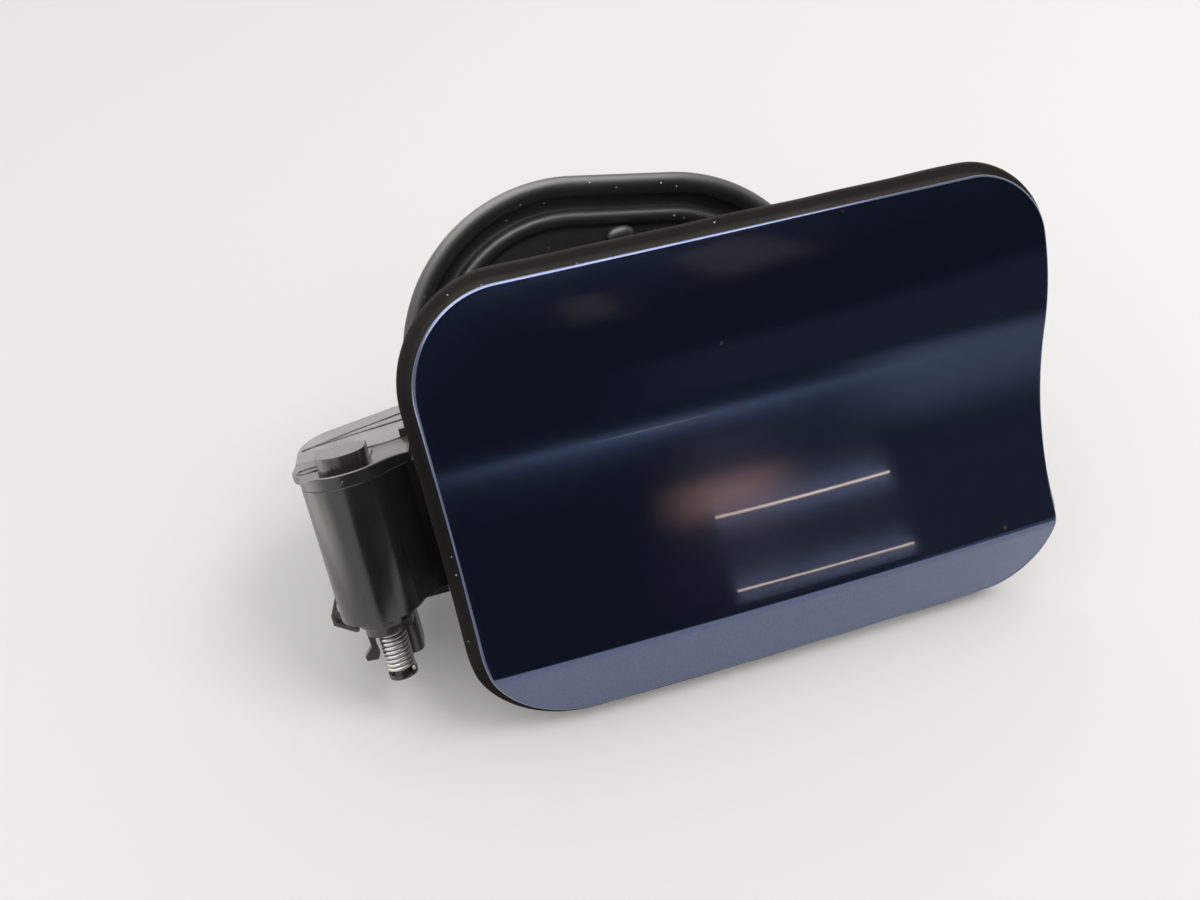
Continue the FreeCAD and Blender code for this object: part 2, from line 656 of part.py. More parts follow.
def hinge_housing():
    """Pocket behind the barrel under a sloping lid, with the two ears that carry the pin."""
    body = new_body("hinge_housing")
    walls = new_sketch(body, "XY_Plane", LOWER_EAR_FOOT_Z)
    outline = housing_outline(dim(0), s.housing_front_y)
    polygon(walls, outline)
    pad(body, walls, LID_FOOT_Z - LOWER_EAR_FOOT_Z)
    hollow_height = LID_FOOT_Z - LOWER_EAR_TOP_Z
    hollow = new_sketch(body, "XY_Plane", LOWER_EAR_TOP_Z)
    inner = housing_outline(s.housing_wall, s.housing_front_y - s.housing_wall)
    polygon(hollow, inner)
    pocket(body, hollow, hollow_height, forwards=True)
    fillet(body, s.housing_corner - s.housing_wall, stands_at(*inner[3], hollow_height))
    fillet(body, s.housing_corner, stands_at(*outline[3], LID_FOOT_Z - LOWER_EAR_FOOT_Z))

    lid = new_sketch(body, "XY_Plane", LID_FOOT_Z)
    lid_outline = housing_outline(dim(0), LID_FRONT_Y, s.lid_overhang)
    polygon(lid, lid_outline)
    pad(body, lid, s.lid_height)
    fillet(body, s.lid_corner, stands_at(*lid_outline[3], s.lid_height))
    lid_left_x = lid_outline[0][0]
    slope = new_sketch(body, "YZ_Plane", lid_left_x)
    front, rear = lid_line(dim(0))
    polygon(slope, [front, rear, (rear[0], rear[1] + s.lid_fall), (front[0], rear[1] + s.lid_fall)])
    pocket(body, slope, HOUSING_RIGHT_X - lid_left_x, forwards=True)
    relief_left_x = HOUSING_LEFT_X + s.housing_corner
    relief = new_sketch(body, "YZ_Plane", relief_left_x)
    under_rear = lid_line(s.lid_wall)[1]
    wall_y = s.housing_back_y - s.housing_slant - s.housing_wall
    polygon(relief, [(s.housing_front_y, LID_FOOT_Z), (wall_y, LID_FOOT_Z),
                     (wall_y, LID_FOOT_Z + (under_rear[1] - LID_FOOT_Z) / 2)])
    pocket(body, relief, HOUSING_RIGHT_X - s.housing_wall - relief_left_x, forwards=True)

    tongues = ((EAR_UNDER_Z, LID_TOP_Z, s.hinge_y + s.ear_radius),
               (EAR_UNDER_Z, EAR_UNDER_Z + s.ear_web, s.housing_front_y + s.housing_wall),
               (LOWER_EAR_FOOT_Z, LOWER_EAR_TOP_Z, s.housing_front_y))
    for low, high, back in tongues:
        tongue = new_sketch(body, "XY_Plane", low)
        rectangle(tongue, HINGE_X, (s.hinge_y + back) / 2, s.ear_radius * 2, back - s.hinge_y)
        pad(body, tongue, high - low)
    for low, high in ((EAR_UNDER_Z, LID_TOP_Z), (LOWER_EAR_FOOT_Z, LOWER_EAR_TOP_Z)):
        ear = new_sketch(body, "XY_Plane", low)
        circle(ear, HINGE_X, s.hinge_y, s.ear_radius)
        pad(body, ear, high - low)

    fin = new_sketch(body, "XY_Plane", LOWER_EAR_TOP_Z)
    fin_left, fin_right = HINGE_X + s.fin_offset, HINGE_X + s.ear_radius
    fin_front = s.hinge_y + s.fin_setback
    polygon(fin, [(fin_left, fin_front), (fin_right, fin_front),
                  (fin_right, s.housing_front_y + s.housing_wall),
                  (fin_left, s.housing_front_y + s.housing_wall)])
    pad(body, fin, s.fin_drop + s.floor_ear, backwards=True)
    for x in (fin_left, fin_right):
        fillet(body, s.fin_round, stands_at(x, fin_front, s.fin_drop))

    tab = new_sketch(body, "XZ_Plane", -s.pot_flange_y - s.pot_flange_wall - s.ear_gap)
    tab_left, tab_right = HOUSING_RIGHT_X - s.housing_wall, HOUSING_RIGHT_X + s.tab_reach
    tab_low, tab_high = TAB_MIDDLE_Z - s.tab_height / 2, TAB_MIDDLE_Z + s.tab_height / 2
    polygon(tab, [(tab_left, tab_low), (tab_right, tab_low), (tab_right, tab_high), (tab_left, tab_high)])
    pad(body, tab, s.housing_wall, backwards=True)
    for x, z in RIVETS:
        hole = new_sketch(body, "XZ_Plane", -s.pot_flange_y)
        circle(hole, x, z, s.rivet_radius + s.fit_gap)
        pocket(body, hole, s.pot_flange_wall + s.ear_gap + s.housing_wall)

    upper = new_sketch(body, "XY_Plane", EAR_UNDER_Z)
    circle(upper, HINGE_X, s.hinge_y, s.bush_radius + s.bush_play)
    pocket(body, upper, s.pin_reach + s.ear_gap, forwards=True)
    lower = new_sketch(body, "XY_Plane", LOWER_EAR_TOP_Z)
    circle(lower, HINGE_X, s.hinge_y, s.bush_radius + s.bush_play)
    pocket(body, lower, s.floor_ear)
    return body


def retaining_clip():
    """Sheet spring on the housing's left wall, turned out at its lower end."""
    body = new_body("retaining_clip")
    sketch = new_sketch(body, "XZ_Plane", -s.housing_front_y - s.housing_wall)
    wall = HOUSING_LEFT_X
    foot = LOWER_EAR_FOOT_Z - s.hook_drop
    top = foot + s.hook_length
    out, sheet_wall = wall - s.hook_turn, s.hook_wall
    bend = foot + s.hook_drop
    polygon(sketch, [(wall, top), (out, bend + sheet_wall), (out, bend - sheet_wall * 2),
                     (wall, foot), (wall + sheet_wall, foot), (wall + sheet_wall, foot + sheet_wall),
                     (out + sheet_wall, bend - sheet_wall), (out + sheet_wall, bend + sheet_wall),
                     (wall, top - sheet_wall * 2)])
    pad(body, sketch, s.hook_width, backwards=True)
    return body


# Filler pot.
FLANGE_BACK_Y = s.pot_flange_y + s.pot_flange_wall


def lip(body, front_y, width, height, corner, half):
    """Raised ring on the flange."""
    ring = new_sketch(body, "XZ_Plane", -FLANGE_BACK_Y)
    for grow in (half, -half):
        rounded_rectangle(ring, s.lip_centre_x, 0, width + grow * 2, height + grow * 2, corner + grow,
                          s.lip_turn)
    pad(body, ring, FLANGE_BACK_Y - front_y)


def take_off_edges(body, y, size):
    """Chamfer all edges in the plane at one depth."""
    base = body.Tip
    edges = ["Edge{}".format(k) for k, edge in enumerate(body.Shape.Edges, start=1)
             if all(abs(v.Point.y - y.value) < 0.01 for v in edge.Vertexes)]
    feature = body.newObject("PartDesign::Chamfer", "Chamfer")
    feature.Base = (base, edges)
    feature.setExpression("Size", size.text)
    body.Tip = feature
    doc.recompute()


def filler_pot():
    """Rubber pot: outer and inner lip on a flange, round bowl and a collar for the neck."""
    body = new_body("filler_pot")
    flange = new_sketch(body, "XZ_Plane", -FLANGE_BACK_Y)
    rounded_rectangle(flange, s.lip_centre_x, 0, s.lip_width, s.lip_height, LIP_CORNER, s.lip_turn)
    circle(flange, 0, 0, s.bowl_radius)
    pad(body, flange, s.pot_flange_wall)
    lip(body, s.lip_y - s.lip_bead, s.lip_width, s.lip_height, LIP_CORNER, s.lip_bead)
    take_off_edges(body, s.lip_y - s.lip_bead, s.lip_round)
    lip(body, s.pot_flange_y - s.inner_lip_bead, INNER_LIP_WIDTH, INNER_LIP_HEIGHT,
        INNER_LIP_CORNER, s.inner_lip_bead)
    bowl = body.newObject("PartDesign::Revolution", "Bowl")
    section = new_sketch(body, "XY_Plane")
    collar = s.neck_radius + s.collar_wall
    polygon(section, [(s.bowl_radius, s.pot_flange_y), (s.bowl_radius + s.pot_wall, s.pot_flange_y),
                      (s.bowl_radius + s.pot_wall, s.pot_wall), (collar, s.pot_wall),
                      (collar, s.collar_back), (s.neck_radius, s.collar_back),
                      (s.neck_radius, -s.collar_front), (collar, -s.collar_front), (collar, 0),
                      (s.bowl_radius, 0)])
    bowl.Profile = section
    bowl.ReferenceAxis = (section, ["V_Axis"])
    bowl.Angle = 360
    body.Tip = bowl
    doc.recompute()
    drain = new_sketch(body, "XZ_Plane", -s.pot_wall)
    circle(drain, s.drain_offset, s.drain_offset, s.drain_radius + s.drain_step + s.fit_gap)
    pocket(body, drain, s.pot_wall, forwards=True)
    for x, z in RIVETS:
        hole = new_sketch(body, "XZ_Plane", -s.pot_flange_y)
        circle(hole, x, z, s.rivet_radius + s.fit_gap)
        pocket(body, hole, s.pot_flange_wall)
    return body


def drain_spigot():
    """Tube behind the pot's floor, on a wider stem with a flange on the inside."""
    start = (s.drain_offset, -s.drain_flange, s.drain_offset)
    length = s.drain_length + s.drain_flange
    stem_radius = s.drain_radius + s.drain_step
    tube = cylinder("drain_tube", s.drain_radius, length, *start)
    stem = cylinder("drain_stem", stem_radius, s.pot_wall + s.drain_flange, *start)
    flange = cylinder("drain_rim", stem_radius + s.drain_flange, s.drain_flange, *start)
    bore = cylinder("drain_bore", s.drain_radius - s.drain_wall, length, *start)
    return cut("drain_spigot", fused("drain_body", [tube, stem, flange]), bore)


def pot_rivets():
    """Push rivets through the pot's flange and the housing's tab."""
    made = []
    front = s.pot_flange_y - s.rivet_head_wall
    tail = FLANGE_BACK_Y + s.ear_gap + s.housing_wall + s.rivet_head_wall
    for number, (x, z) in enumerate(RIVETS):
        shank = cylinder("rivet_shank", s.rivet_radius, tail - front, x, front, z)
        head = cylinder("rivet_head", s.rivet_head, s.rivet_head_wall, x, front, z)
        made.append(fused("rivet_{}".format(number), [shank, head]))
    return group("pot_rivets", made)


# What the flap carries on its back.
def latch_striker():
    """Foot on the backing and a hook that the lock's bolt takes."""
    body = new_body("latch_striker")
    foot = new_sketch(body, "XZ_Plane", -s.rear_seat_y)
    rectangle(foot, STRIKER_X, FLAP_MIDDLE_Z, s.striker_foot, s.striker_height)
    pad(body, foot, s.striker_wall, backwards=True)
    hook = new_sketch(body, "XY_Plane", FLAP_MIDDLE_Z - s.striker_tongue / 2)
    near, far = s.rear_seat_y, s.rear_seat_y + s.striker_depth
    left, right = STRIKER_X - s.striker_wall / 2, STRIKER_X + s.striker_wall / 2
    polygon(hook, [(left, near), (right, near), (right, far), (left - s.striker_hook, far),
                   (left - s.striker_hook, far - s.striker_wall), (left, far - s.striker_wall)])
    pad(body, hook, s.striker_tongue)
    for x, z in STRIKER_SCREWS:
        hole = new_sketch(body, "XZ_Plane", -s.rear_seat_y)
        circle(hole, x, z, s.screw_radius + s.fit_gap)
        pocket(body, hole, s.striker_wall)
    return body


def rubber_buffer(label, z):
    return cylinder(label, s.buffer_radius, s.buffer_length, BUFFER_X, s.rear_seat_y, z)


def cap_holder():
    """Two sprung jaws on a foot, where the filler cap's tether hangs."""
    body = new_body("cap_holder")
    foot = new_sketch(body, "XZ_Plane", -s.rear_seat_y)
    rectangle(foot, HOLDER_X, HOLDER_Z, s.holder_width, s.holder_height)
    pad(body, foot, s.holder_wall, backwards=True)
    for side in (-1, 1):
        jaw = new_sketch(body, "XY_Plane", HOLDER_Z - s.holder_height / 2)
        inner = HOLDER_X + s.holder_opening / 2 * side
        outer = inner + s.holder_wall * side
        near, far = s.rear_seat_y, s.rear_seat_y + s.holder_depth
        nib = inner - s.holder_wall * side / 2
        corners = [(inner, near), (outer, near), (outer, far), (nib, far),
                   (nib, far - s.holder_wall), (inner, far - s.holder_wall)]
        polygon(jaw, corners if side > 0 else corners[::-1])
        pad(body, jaw, s.holder_height)
    return body


UPPER_BUSH = ("upper_bush", EAR_UNDER_Z, s.pin_reach)
LOWER_BUSH = ("lower_bush", LOWER_EAR_FOOT_Z, s.floor_ear)
FLANGE_FACE_Y = s.arm_seat_y + s.flange_wall
STRIKER_FACE_Y = s.rear_seat_y + s.striker_wall

subparts = [
    flap_panel(), flap_backing(), rim_seal(), hinge_arm(), hinge_pin(), pin_cap(),
    screws("arm_screws", ARM_SCREWS, FLANGE_FACE_Y, s.flange_wall),
    latch_striker(), screws("striker_screws", STRIKER_SCREWS, STRIKER_FACE_Y, s.striker_wall),
    cap_holder(),
    hinge_housing(), bush(*UPPER_BUSH), bush(*LOWER_BUSH), closing_spring(), retaining_clip(),
    filler_pot(), drain_spigot(), pot_rivets(),
]
subparts += [rubber_buffer(label, z) for label, z in BUFFERS.items()]

doc.recompute()
for item in doc.Objects:
    if "Invalid" in item.State or "Error" in item.State:
        raise RuntimeError("{} failed: {}".format(item.Label, item.State))
for part in subparts:
    if part.Shape.isNull() or not part.Shape.isValid():
        raise RuntimeError("{} has no valid shape".format(part.Label))

os.makedirs("parts", exist_ok=True)
for part in subparts:
    part.Shape.exportStep("parts/{}.step".format(part.Label))
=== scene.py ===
"""Fuel filler flap with its sprung hinge and rubber filler pot, dressed for the photograph's view.

Lengths in the tables are in millimetres, in the frame of the CAD model: X to the right along the
flap, Y into the car body, Z up.
"""
import json
import math

import bmesh
import bpy
from mathutils import Matrix, Vector, noise


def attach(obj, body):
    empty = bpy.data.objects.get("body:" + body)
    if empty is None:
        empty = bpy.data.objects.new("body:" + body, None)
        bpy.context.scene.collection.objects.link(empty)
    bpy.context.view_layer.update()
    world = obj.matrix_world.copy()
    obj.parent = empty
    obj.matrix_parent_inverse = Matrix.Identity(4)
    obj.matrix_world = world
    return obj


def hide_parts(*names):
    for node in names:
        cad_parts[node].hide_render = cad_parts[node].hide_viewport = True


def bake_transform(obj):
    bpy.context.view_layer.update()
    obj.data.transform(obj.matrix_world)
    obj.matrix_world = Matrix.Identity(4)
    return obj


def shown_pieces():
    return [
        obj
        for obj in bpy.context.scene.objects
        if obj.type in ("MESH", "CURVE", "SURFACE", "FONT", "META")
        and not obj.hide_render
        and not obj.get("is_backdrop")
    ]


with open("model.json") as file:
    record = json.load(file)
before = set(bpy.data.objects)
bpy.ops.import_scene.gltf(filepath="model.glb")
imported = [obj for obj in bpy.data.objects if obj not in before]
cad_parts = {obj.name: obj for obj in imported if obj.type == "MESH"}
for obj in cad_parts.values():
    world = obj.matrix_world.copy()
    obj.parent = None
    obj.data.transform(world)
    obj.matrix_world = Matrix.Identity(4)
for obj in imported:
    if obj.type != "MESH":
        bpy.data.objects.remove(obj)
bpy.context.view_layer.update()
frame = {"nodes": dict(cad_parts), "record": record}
scene = bpy.context.scene
MM = 0.001

# Painted flap
FLAP_CENTRE = (31.0, -26.5)
FLAP_SIZE = (195.0, 139.0)
FLAP_CORNERS = {(1, 1): 20.5, (-1, 1): 29.5, (-1, -1): 31.0, (1, -1): 23.5}  # by (right, up)
FLAP_FACE_Y = -81.0
SWELL_END = (-82.2, -7.0)
SWELL_RADIUS = 80.0
CREASE = (-81.7, -73.0)
FOOT_SLOPE = 0.44
CREASE_SOFT, CREASE_REACH, CREASE_STEPS = 2.6, 4.0, 6  # how far and over what height the crease is softened
SIDE_BOW, BOW_LEVEL = 2.2, 0.45  # bow of the sides, and the share of it that the middle comes forward
ROLLED_EDGE, PANEL_EDGE, HEM = 1.1, 2.5, 6.0
PANEL_COLUMNS = 140
SEAL_WAVE, SEAL_WAVE_SCALE = 0.35, 0.045  # the soft lip is not quite even
# Hinge spring, on the pin's axis
HINGE = (-92.2, -58.5)
COIL_TOP, COIL_FOOT = -56.75, -70.35
COIL_RADIUS, WIRE_RADIUS, COIL_TURNS, COIL_STEPS = 3.9, 0.65, 9, 30
UPPER_LEG = ((3.5, 5.4), (3.9, 2.6))
LOWER_LEG = ((COIL_RADIUS, -1.6), (COIL_RADIUS, -3.4))
# Housing lid and the hood in front of it
LID_BACK_Y, LID_BACK_Z, LID_DROP, LID_DEPTH = -3.0, 3.0, 7.3, 41.6
RIB_RADIUS, RIB_SINK = 0.42, 0.1
HOOD_RADIUS, HOOD_TOP, HOOD_DEPTH = 13.4, -2.7, 2.2
HOOD_LIP, HOOD_DIP, HOOD_BORE = 1.6, 0.05, 6.5
BLOCK_EDGE = 0.35
# Pot: centre and lean of its lips, and the nub inside them
LIP_CENTRE = (2.4, 0.0)
LIP_TURN = math.radians(-9)
NUB_CENTRE, NUB_HALF = (9.1, -40.6, 46.6), (4.6, 2.4, 2.6)


# Meshes

def new_piece(name, points, faces, slot, smooth=True):
    """A mesh object from points in millimetres, with its normals facing out."""
    mesh = bpy.data.meshes.new(name)
    mesh.from_pydata([tuple(c * MM for c in p) for p in points], [], faces)
    work = bmesh.new()
    work.from_mesh(mesh)
    bmesh.ops.remove_doubles(work, verts=work.verts, dist=1e-7)
    bmesh.ops.recalc_face_normals(work, faces=work.faces)
    work.to_mesh(mesh)
    work.free()
    for face in mesh.polygons:
        face.use_smooth = smooth
    piece = bpy.data.objects.new(name, mesh)
    scene.collection.objects.link(piece)
    return piece


def strip_faces(rows, columns, close_rows=False, close_columns=True):
    """Quads between neighbouring rows of points that are stored one row after another."""
    faces = []
    for r in range(rows if close_rows else rows - 1):
        below = (r + 1) % rows
        for c in range(columns if close_columns else columns - 1):
            right = (c + 1) % columns
            faces.append((r * columns + c, r * columns + right, below * columns + right,
                          below * columns + c))
    return faces


QUARTERS = ((1, 1), (-1, 1), (-1, -1), (1, -1))  # corners of an outline in order, as (right, up)


def rounded_outline(centre, width, height, corner, turn=0.0, corner_steps=24, side_steps=24):
    """Points round a rounded rectangle, each with the direction that faces out.

    The corner is one radius, or a radius for each of QUARTERS.
    """
    radii = [corner[quarter] if isinstance(corner, dict) else corner for quarter in QUARTERS]
    middles = [(right * (width / 2 - radius), up * (height / 2 - radius))
               for (right, up), radius in zip(QUARTERS, radii)]
    found = []
    for quarter in range(4):
        for step in range(corner_steps + 1):
            angle = (quarter + step / corner_steps) * math.pi / 2
            out = (math.cos(angle), math.sin(angle))
            found.append((middles[quarter][0] + radii[quarter] * out[0],
                          middles[quarter][1] + radii[quarter] * out[1], *out))
        following = (quarter + 1) % 4
        start = found[-1][:2]
        end = (middles[following][0] + radii[following] * out[0],
               middles[following][1] + radii[following] * out[1])
        for step in range(1, side_steps):
            share = step / side_steps
            found.append((start[0] + (end[0] - start[0]) * share,
                          start[1] + (end[1] - start[1]) * share, *out))
    cosine, sine = math.cos(turn), math.sin(turn)
    return [(centre[0] + x * cosine - z * sine, centre[1] + x * sine + z * cosine,
             ox * cosine - oz * sine, ox * sine + oz * cosine) for x, z, ox, oz in found]


def circle_centre(a, b, radius):
    """Centre, on the +Y side, of the circle through two points of the flap's section."""
    a, b = Vector(a), Vector(b)
    half = (b - a) / 2
    side = Vector((-half.y, half.x)).normalized()
    side = side if side.x > 0 else -side
    return a + half + side * math.sqrt(radius ** 2 - half.length ** 2)


FLAP_TOP = (FLAP_FACE_Y, FLAP_CENTRE[1] + FLAP_SIZE[1] / 2)
SWELL_CENTRE = circle_centre(FLAP_TOP, SWELL_END, SWELL_RADIUS)
SWELL_OUT = (Vector(SWELL_END) - SWELL_CENTRE).normalized()
HOLLOW_CHORD = Vector(CREASE) - Vector(SWELL_END)
HOLLOW_RADIUS = HOLLOW_CHORD.length_squared / (2 * HOLLOW_CHORD.dot(SWELL_OUT))
HOLLOW_CENTRE = Vector(SWELL_END) + SWELL_OUT * HOLLOW_RADIUS


def section_y(z):
    """The flap's face at one height: swell, hollow, crease and the strip that leans back."""
    if z >= SWELL_END[1]:
        return SWELL_CENTRE.x - math.sqrt(max(SWELL_RADIUS ** 2 - (z - SWELL_CENTRE.y) ** 2, 0))
    if z >= CREASE[1]:
        return HOLLOW_CENTRE.x + math.sqrt(HOLLOW_RADIUS ** 2 - (z - HOLLOW_CENTRE.y) ** 2)
    return CREASE[0] + FOOT_SLOPE * (CREASE[1] - z)


def flap_y(x, z):
    """The painted face, its crease softened and its sides bowed back."""
    near = max(0.0, 1.0 - max(abs(z - CREASE[1]) - CREASE_REACH, 0.0) / CREASE_REACH)
    spread = CREASE_SOFT * near
    if spread > 0:
        steps = range(-CREASE_STEPS, CREASE_STEPS + 1)
        y = sum(section_y(z + spread * k / CREASE_STEPS) for k in steps) / len(steps)
    else:
        y = section_y(z)
    return y + SIDE_BOW * (((x - FLAP_CENTRE[0]) / (FLAP_SIZE[0] / 2)) ** 2 - BOW_LEVEL)


def flap_edge(side, z, inset):
    """X of the painted panel's left (-1) or right (1) edge at one height, inside its rolled edge."""
    corner = FLAP_CORNERS[side, 1 if z > FLAP_CENTRE[1] else -1]
    half = FLAP_SIZE[0] / 2 - inset
    rise = abs(z - FLAP_CENTRE[1]) - (FLAP_SIZE[1] / 2 - corner)
    if rise > 0:
        half += math.sqrt(max((corner - inset) ** 2 - rise ** 2, 0.0)) - (corner - inset)
    return FLAP_CENTRE[0] + side * half


def flap_rows(inset):
    """Heights of the panel's rows: close together in the corners and over the crease."""
    crease_step, crease_rows, middle_rows, corner_rows, closest = 0.45, 12, 30, 26, 0.02
    heights = [CREASE[1] + crease_step * k for k in range(-crease_rows, crease_rows + 1)]
    reach = FLAP_SIZE[1] / 2 - max(FLAP_CORNERS.values())
    heights += [FLAP_CENTRE[1] + reach * k / middle_rows for k in range(-middle_rows, middle_rows + 1)]
    for (_, up), corner in FLAP_CORNERS.items():
        start = FLAP_CENTRE[1] + up * (FLAP_SIZE[1] / 2 - corner)
        heights += [start + up * (corner - inset) * math.sin(k / corner_rows * math.pi / 2)
                    for k in range(corner_rows + 1)]
    kept = []
    for z in sorted(heights, reverse=True):
        if not kept or kept[-1] - z > closest:
            kept.append(z)
    return kept


def painted_panel():
    """Pressed panel: one row of points for each height, then the edge rolled back and hemmed."""
    heights, columns = flap_rows(ROLLED_EDGE), PANEL_COLUMNS
    points = []
    for z in heights:
        left, right = flap_edge(-1, z, ROLLED_EDGE), flap_edge(1, z, ROLLED_EDGE)
        for c in range(columns):
            x = left + (right - left) * c / (columns - 1)
            points.append((x, flap_y(x, z), z))
    faces = strip_faces(len(heights), columns, close_columns=False)
    last = (len(heights) - 1) * columns
    rim = list(range(columns))
    rim += [r * columns + columns - 1 for r in range(1, len(heights))]
    rim += [last + c for c in range(columns - 2, -1, -1)]
    rim += [r * columns for r in range(len(heights) - 2, 0, -1)]
    loops = [rim]
    profile = [(ROLLED_EDGE * math.sin(a), ROLLED_EDGE * (1 - math.cos(a)))
               for a in (k * math.pi / 16 for k in range(1, 9))]
    profile += [(ROLLED_EDGE, PANEL_EDGE - 0.3), (ROLLED_EDGE - 0.3, PANEL_EDGE),
                (ROLLED_EDGE - HEM, PANEL_EDGE)]
    for reach, depth in profile:
        loop = []
        for index in rim:
            x, y, z = points[index]
            corner = FLAP_CORNERS[1 if x > FLAP_CENTRE[0] else -1, 1 if z > FLAP_CENTRE[1] else -1]
            ax = max(abs(x - FLAP_CENTRE[0]) - (FLAP_SIZE[0] / 2 - corner), 0)
            az = max(abs(z - FLAP_CENTRE[1]) - (FLAP_SIZE[1] / 2 - corner), 0)
            size = math.hypot(ax, az) or 1.0
            out_x = math.copysign(ax / size, x - FLAP_CENTRE[0])
            out_z = math.copysign(az / size, z - FLAP_CENTRE[1])
            loop.append(len(points))
            points.append((x + out_x * reach, y + depth, z + out_z * reach))
        loops.append(loop)
    for inner, outer in zip(loops, loops[1:]):
        for k in range(len(inner)):
            n = (k + 1) % len(inner)
            faces.append((inner[k], inner[n], outer[n], outer[k]))
    panel = new_piece("painted_panel", points, faces, "flap_paint")
    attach(panel, "flap")
    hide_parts("flap_panel")
    return panel


def edge_seal():
    """Rubber behind the painted edge: a neck, then a soft lip that stands out past the paint."""
    profile = [(-3.7, 2.6), (-1.0, 2.6), (-0.25, 2.75), (0.0, 3.3), (0.0, 4.8), (0.5, 5.7), (1.6, 6.15),
               (3.2, 6.3), (3.9, 6.55), (4.2, 7.1), (4.2, 7.9), (3.9, 8.6), (3.2, 9.0), (0.5, 9.1),
               (-2.6, 9.1), (-3.5, 8.9), (-3.8, 8.2), (-3.8, 3.2)]
    outline = rounded_outline(FLAP_CENTRE, *FLAP_SIZE, FLAP_CORNERS, corner_steps=28, side_steps=56)
    points = []
    for reach, depth in profile:
        for x, z, out_x, out_z in outline:
            base = flap_y(x, z)
            wave = SEAL_WAVE * noise.noise(Vector((x, z, 0)) * SEAL_WAVE_SCALE) if reach > 1 else 0.0
            grow = reach + wave
            points.append((x + out_x * grow, base + depth + wave * 0.6, z + out_z * grow))
    seal = new_piece("edge_seal", points,
                     strip_faces(len(profile), len(outline), close_rows=True), "seal_rubber")
    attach(seal, "flap")
    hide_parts("rim_seal")
    return seal


def bead(half_width, half_height, corner, y, radius, start, end, steps):
    """Rings round a lip: (half width, half height, corner, depth) for each step of its bulge."""
    rings = []
    for k in range(steps + 1):
        angle = math.radians(start + (end - start) * k / steps)
        grow = radius * math.cos(angle)
        rings.append((half_width + grow, half_height + grow, corner + grow, y - radius * math.sin(angle)))
    return rings


def moulded_pot():
    """Rubber pot as one closed skin: lips, flange, bowl, neck collar and its outside."""
    rings = [(64.5, 57.0, 48.5, -35.0), (72.2, 64.7, 56.2, -35.0), (72.9, 65.4, 56.9, -35.6)]
    rings += bead(69.8, 62.3, 53.8, -41.0, 3.2, -10, 190, 18)
    rings += [(66.5, 59.0, 50.5, -39.2), (66.2, 58.7, 50.2, -38.4), (65.4, 57.9, 49.4, -38.0),
              (63.6, 56.1, 47.6, -38.0), (62.8, 55.3, 46.8, -38.2)]
    rings += bead(60.0, 52.5, 44.0, -38.5, 2.5, 0, 180, 12)
    rings += [(57.4, 49.9, 41.4, -38.1), (56.6, 49.1, 40.6, -38.0)]
    bowl = [(42.9, -38.0), (42.2, -37.6), (42.0, -36.9), (42.0, -3.2), (41.4, -1.1), (39.6, -0.1),
            (37.5, 0.0), (32.2, 0.0), (31.3, -0.4), (31.0, -1.4), (31.0, -5.0), (30.5, -5.8), (29.6, -6.0),
            (28.0, -6.0), (27.3, -5.7), (27.0, -5.0), (27.0, 12.2), (27.3, 12.8), (28.2, 13.0),
            (30.0, 13.0), (30.7, 12.7), (31.0, 12.0), (31.0, 4.2), (31.6, 3.2), (33.0, 3.0), (42.6, 3.0),
            (44.4, 2.2), (45.0, 0.6), (45.0, -33.6), (45.5, -34.7), (46.6, -35.0)]
    points = []
    steps = dict(corner_steps=40, side_steps=12)
    for half_width, half_height, corner, y in rings:
        for x, z, _, _ in rounded_outline(LIP_CENTRE, 2 * half_width, 2 * half_height, corner, LIP_TURN,
                                          **steps):
            points.append((x, y, z))
    guide = rounded_outline((0, 0), 120, 105, 44, LIP_TURN, **steps)
    for radius, y in bowl:
        for x, z, _, _ in guide:
            size = math.hypot(x, z)
            points.append((x / size * radius, y, z / size * radius))
    pot = new_piece("moulded_pot", points,
                    strip_faces(len(rings) + len(bowl), len(guide), close_rows=True), "pot_rubber")
    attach(pot, "housing")
    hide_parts("filler_pot")
    return pot


def tube(path, radius, sides=12):
    """Points and quads of a round wire along a list of points, closed at both ends."""
    path = [Vector(p) for p in path]
    points, side = [], None
    for k, spot in enumerate(path):
        along = (path[min(k + 1, len(path) - 1)] - path[max(k - 1, 0)]).normalized()
        side = (side or along.orthogonal())
        side = (side - along * side.dot(along)).normalized()
        up = along.cross(side)
        for n in range(sides):
            angle = 2 * math.pi * n / sides
            points.append(tuple(spot + side * (radius * math.cos(angle)) + up * (radius * math.sin(angle))))
    faces = strip_faces(len(path), sides)
    faces.append(tuple(range(sides - 1, -1, -1)))
    faces.append(tuple(range(len(points) - sides, len(points))))
    return points, faces


def coil_spring():
    """Closing spring: close-wound coil on the pin with a leg at each end."""
    path = [(HINGE[0] + x, HINGE[1] + y, COIL_TOP) for x, y in UPPER_LEG]
    for k in range(COIL_TURNS * COIL_STEPS + 1):
        angle = 2 * math.pi * k / COIL_STEPS
        z = COIL_TOP + (COIL_FOOT - COIL_TOP) * k / (COIL_TURNS * COIL_STEPS)
        path.append((HINGE[0] + COIL_RADIUS * math.cos(angle), HINGE[1] - COIL_RADIUS * math.sin(angle), z))
    path += [(HINGE[0] + x, HINGE[1] + y, COIL_FOOT) for x, y in LOWER_LEG]
    spring = new_piece("coil_spring", *tube(path, WIRE_RADIUS), "spring_wire")
    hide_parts("closing_spring")
    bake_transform(spring)
    return spring


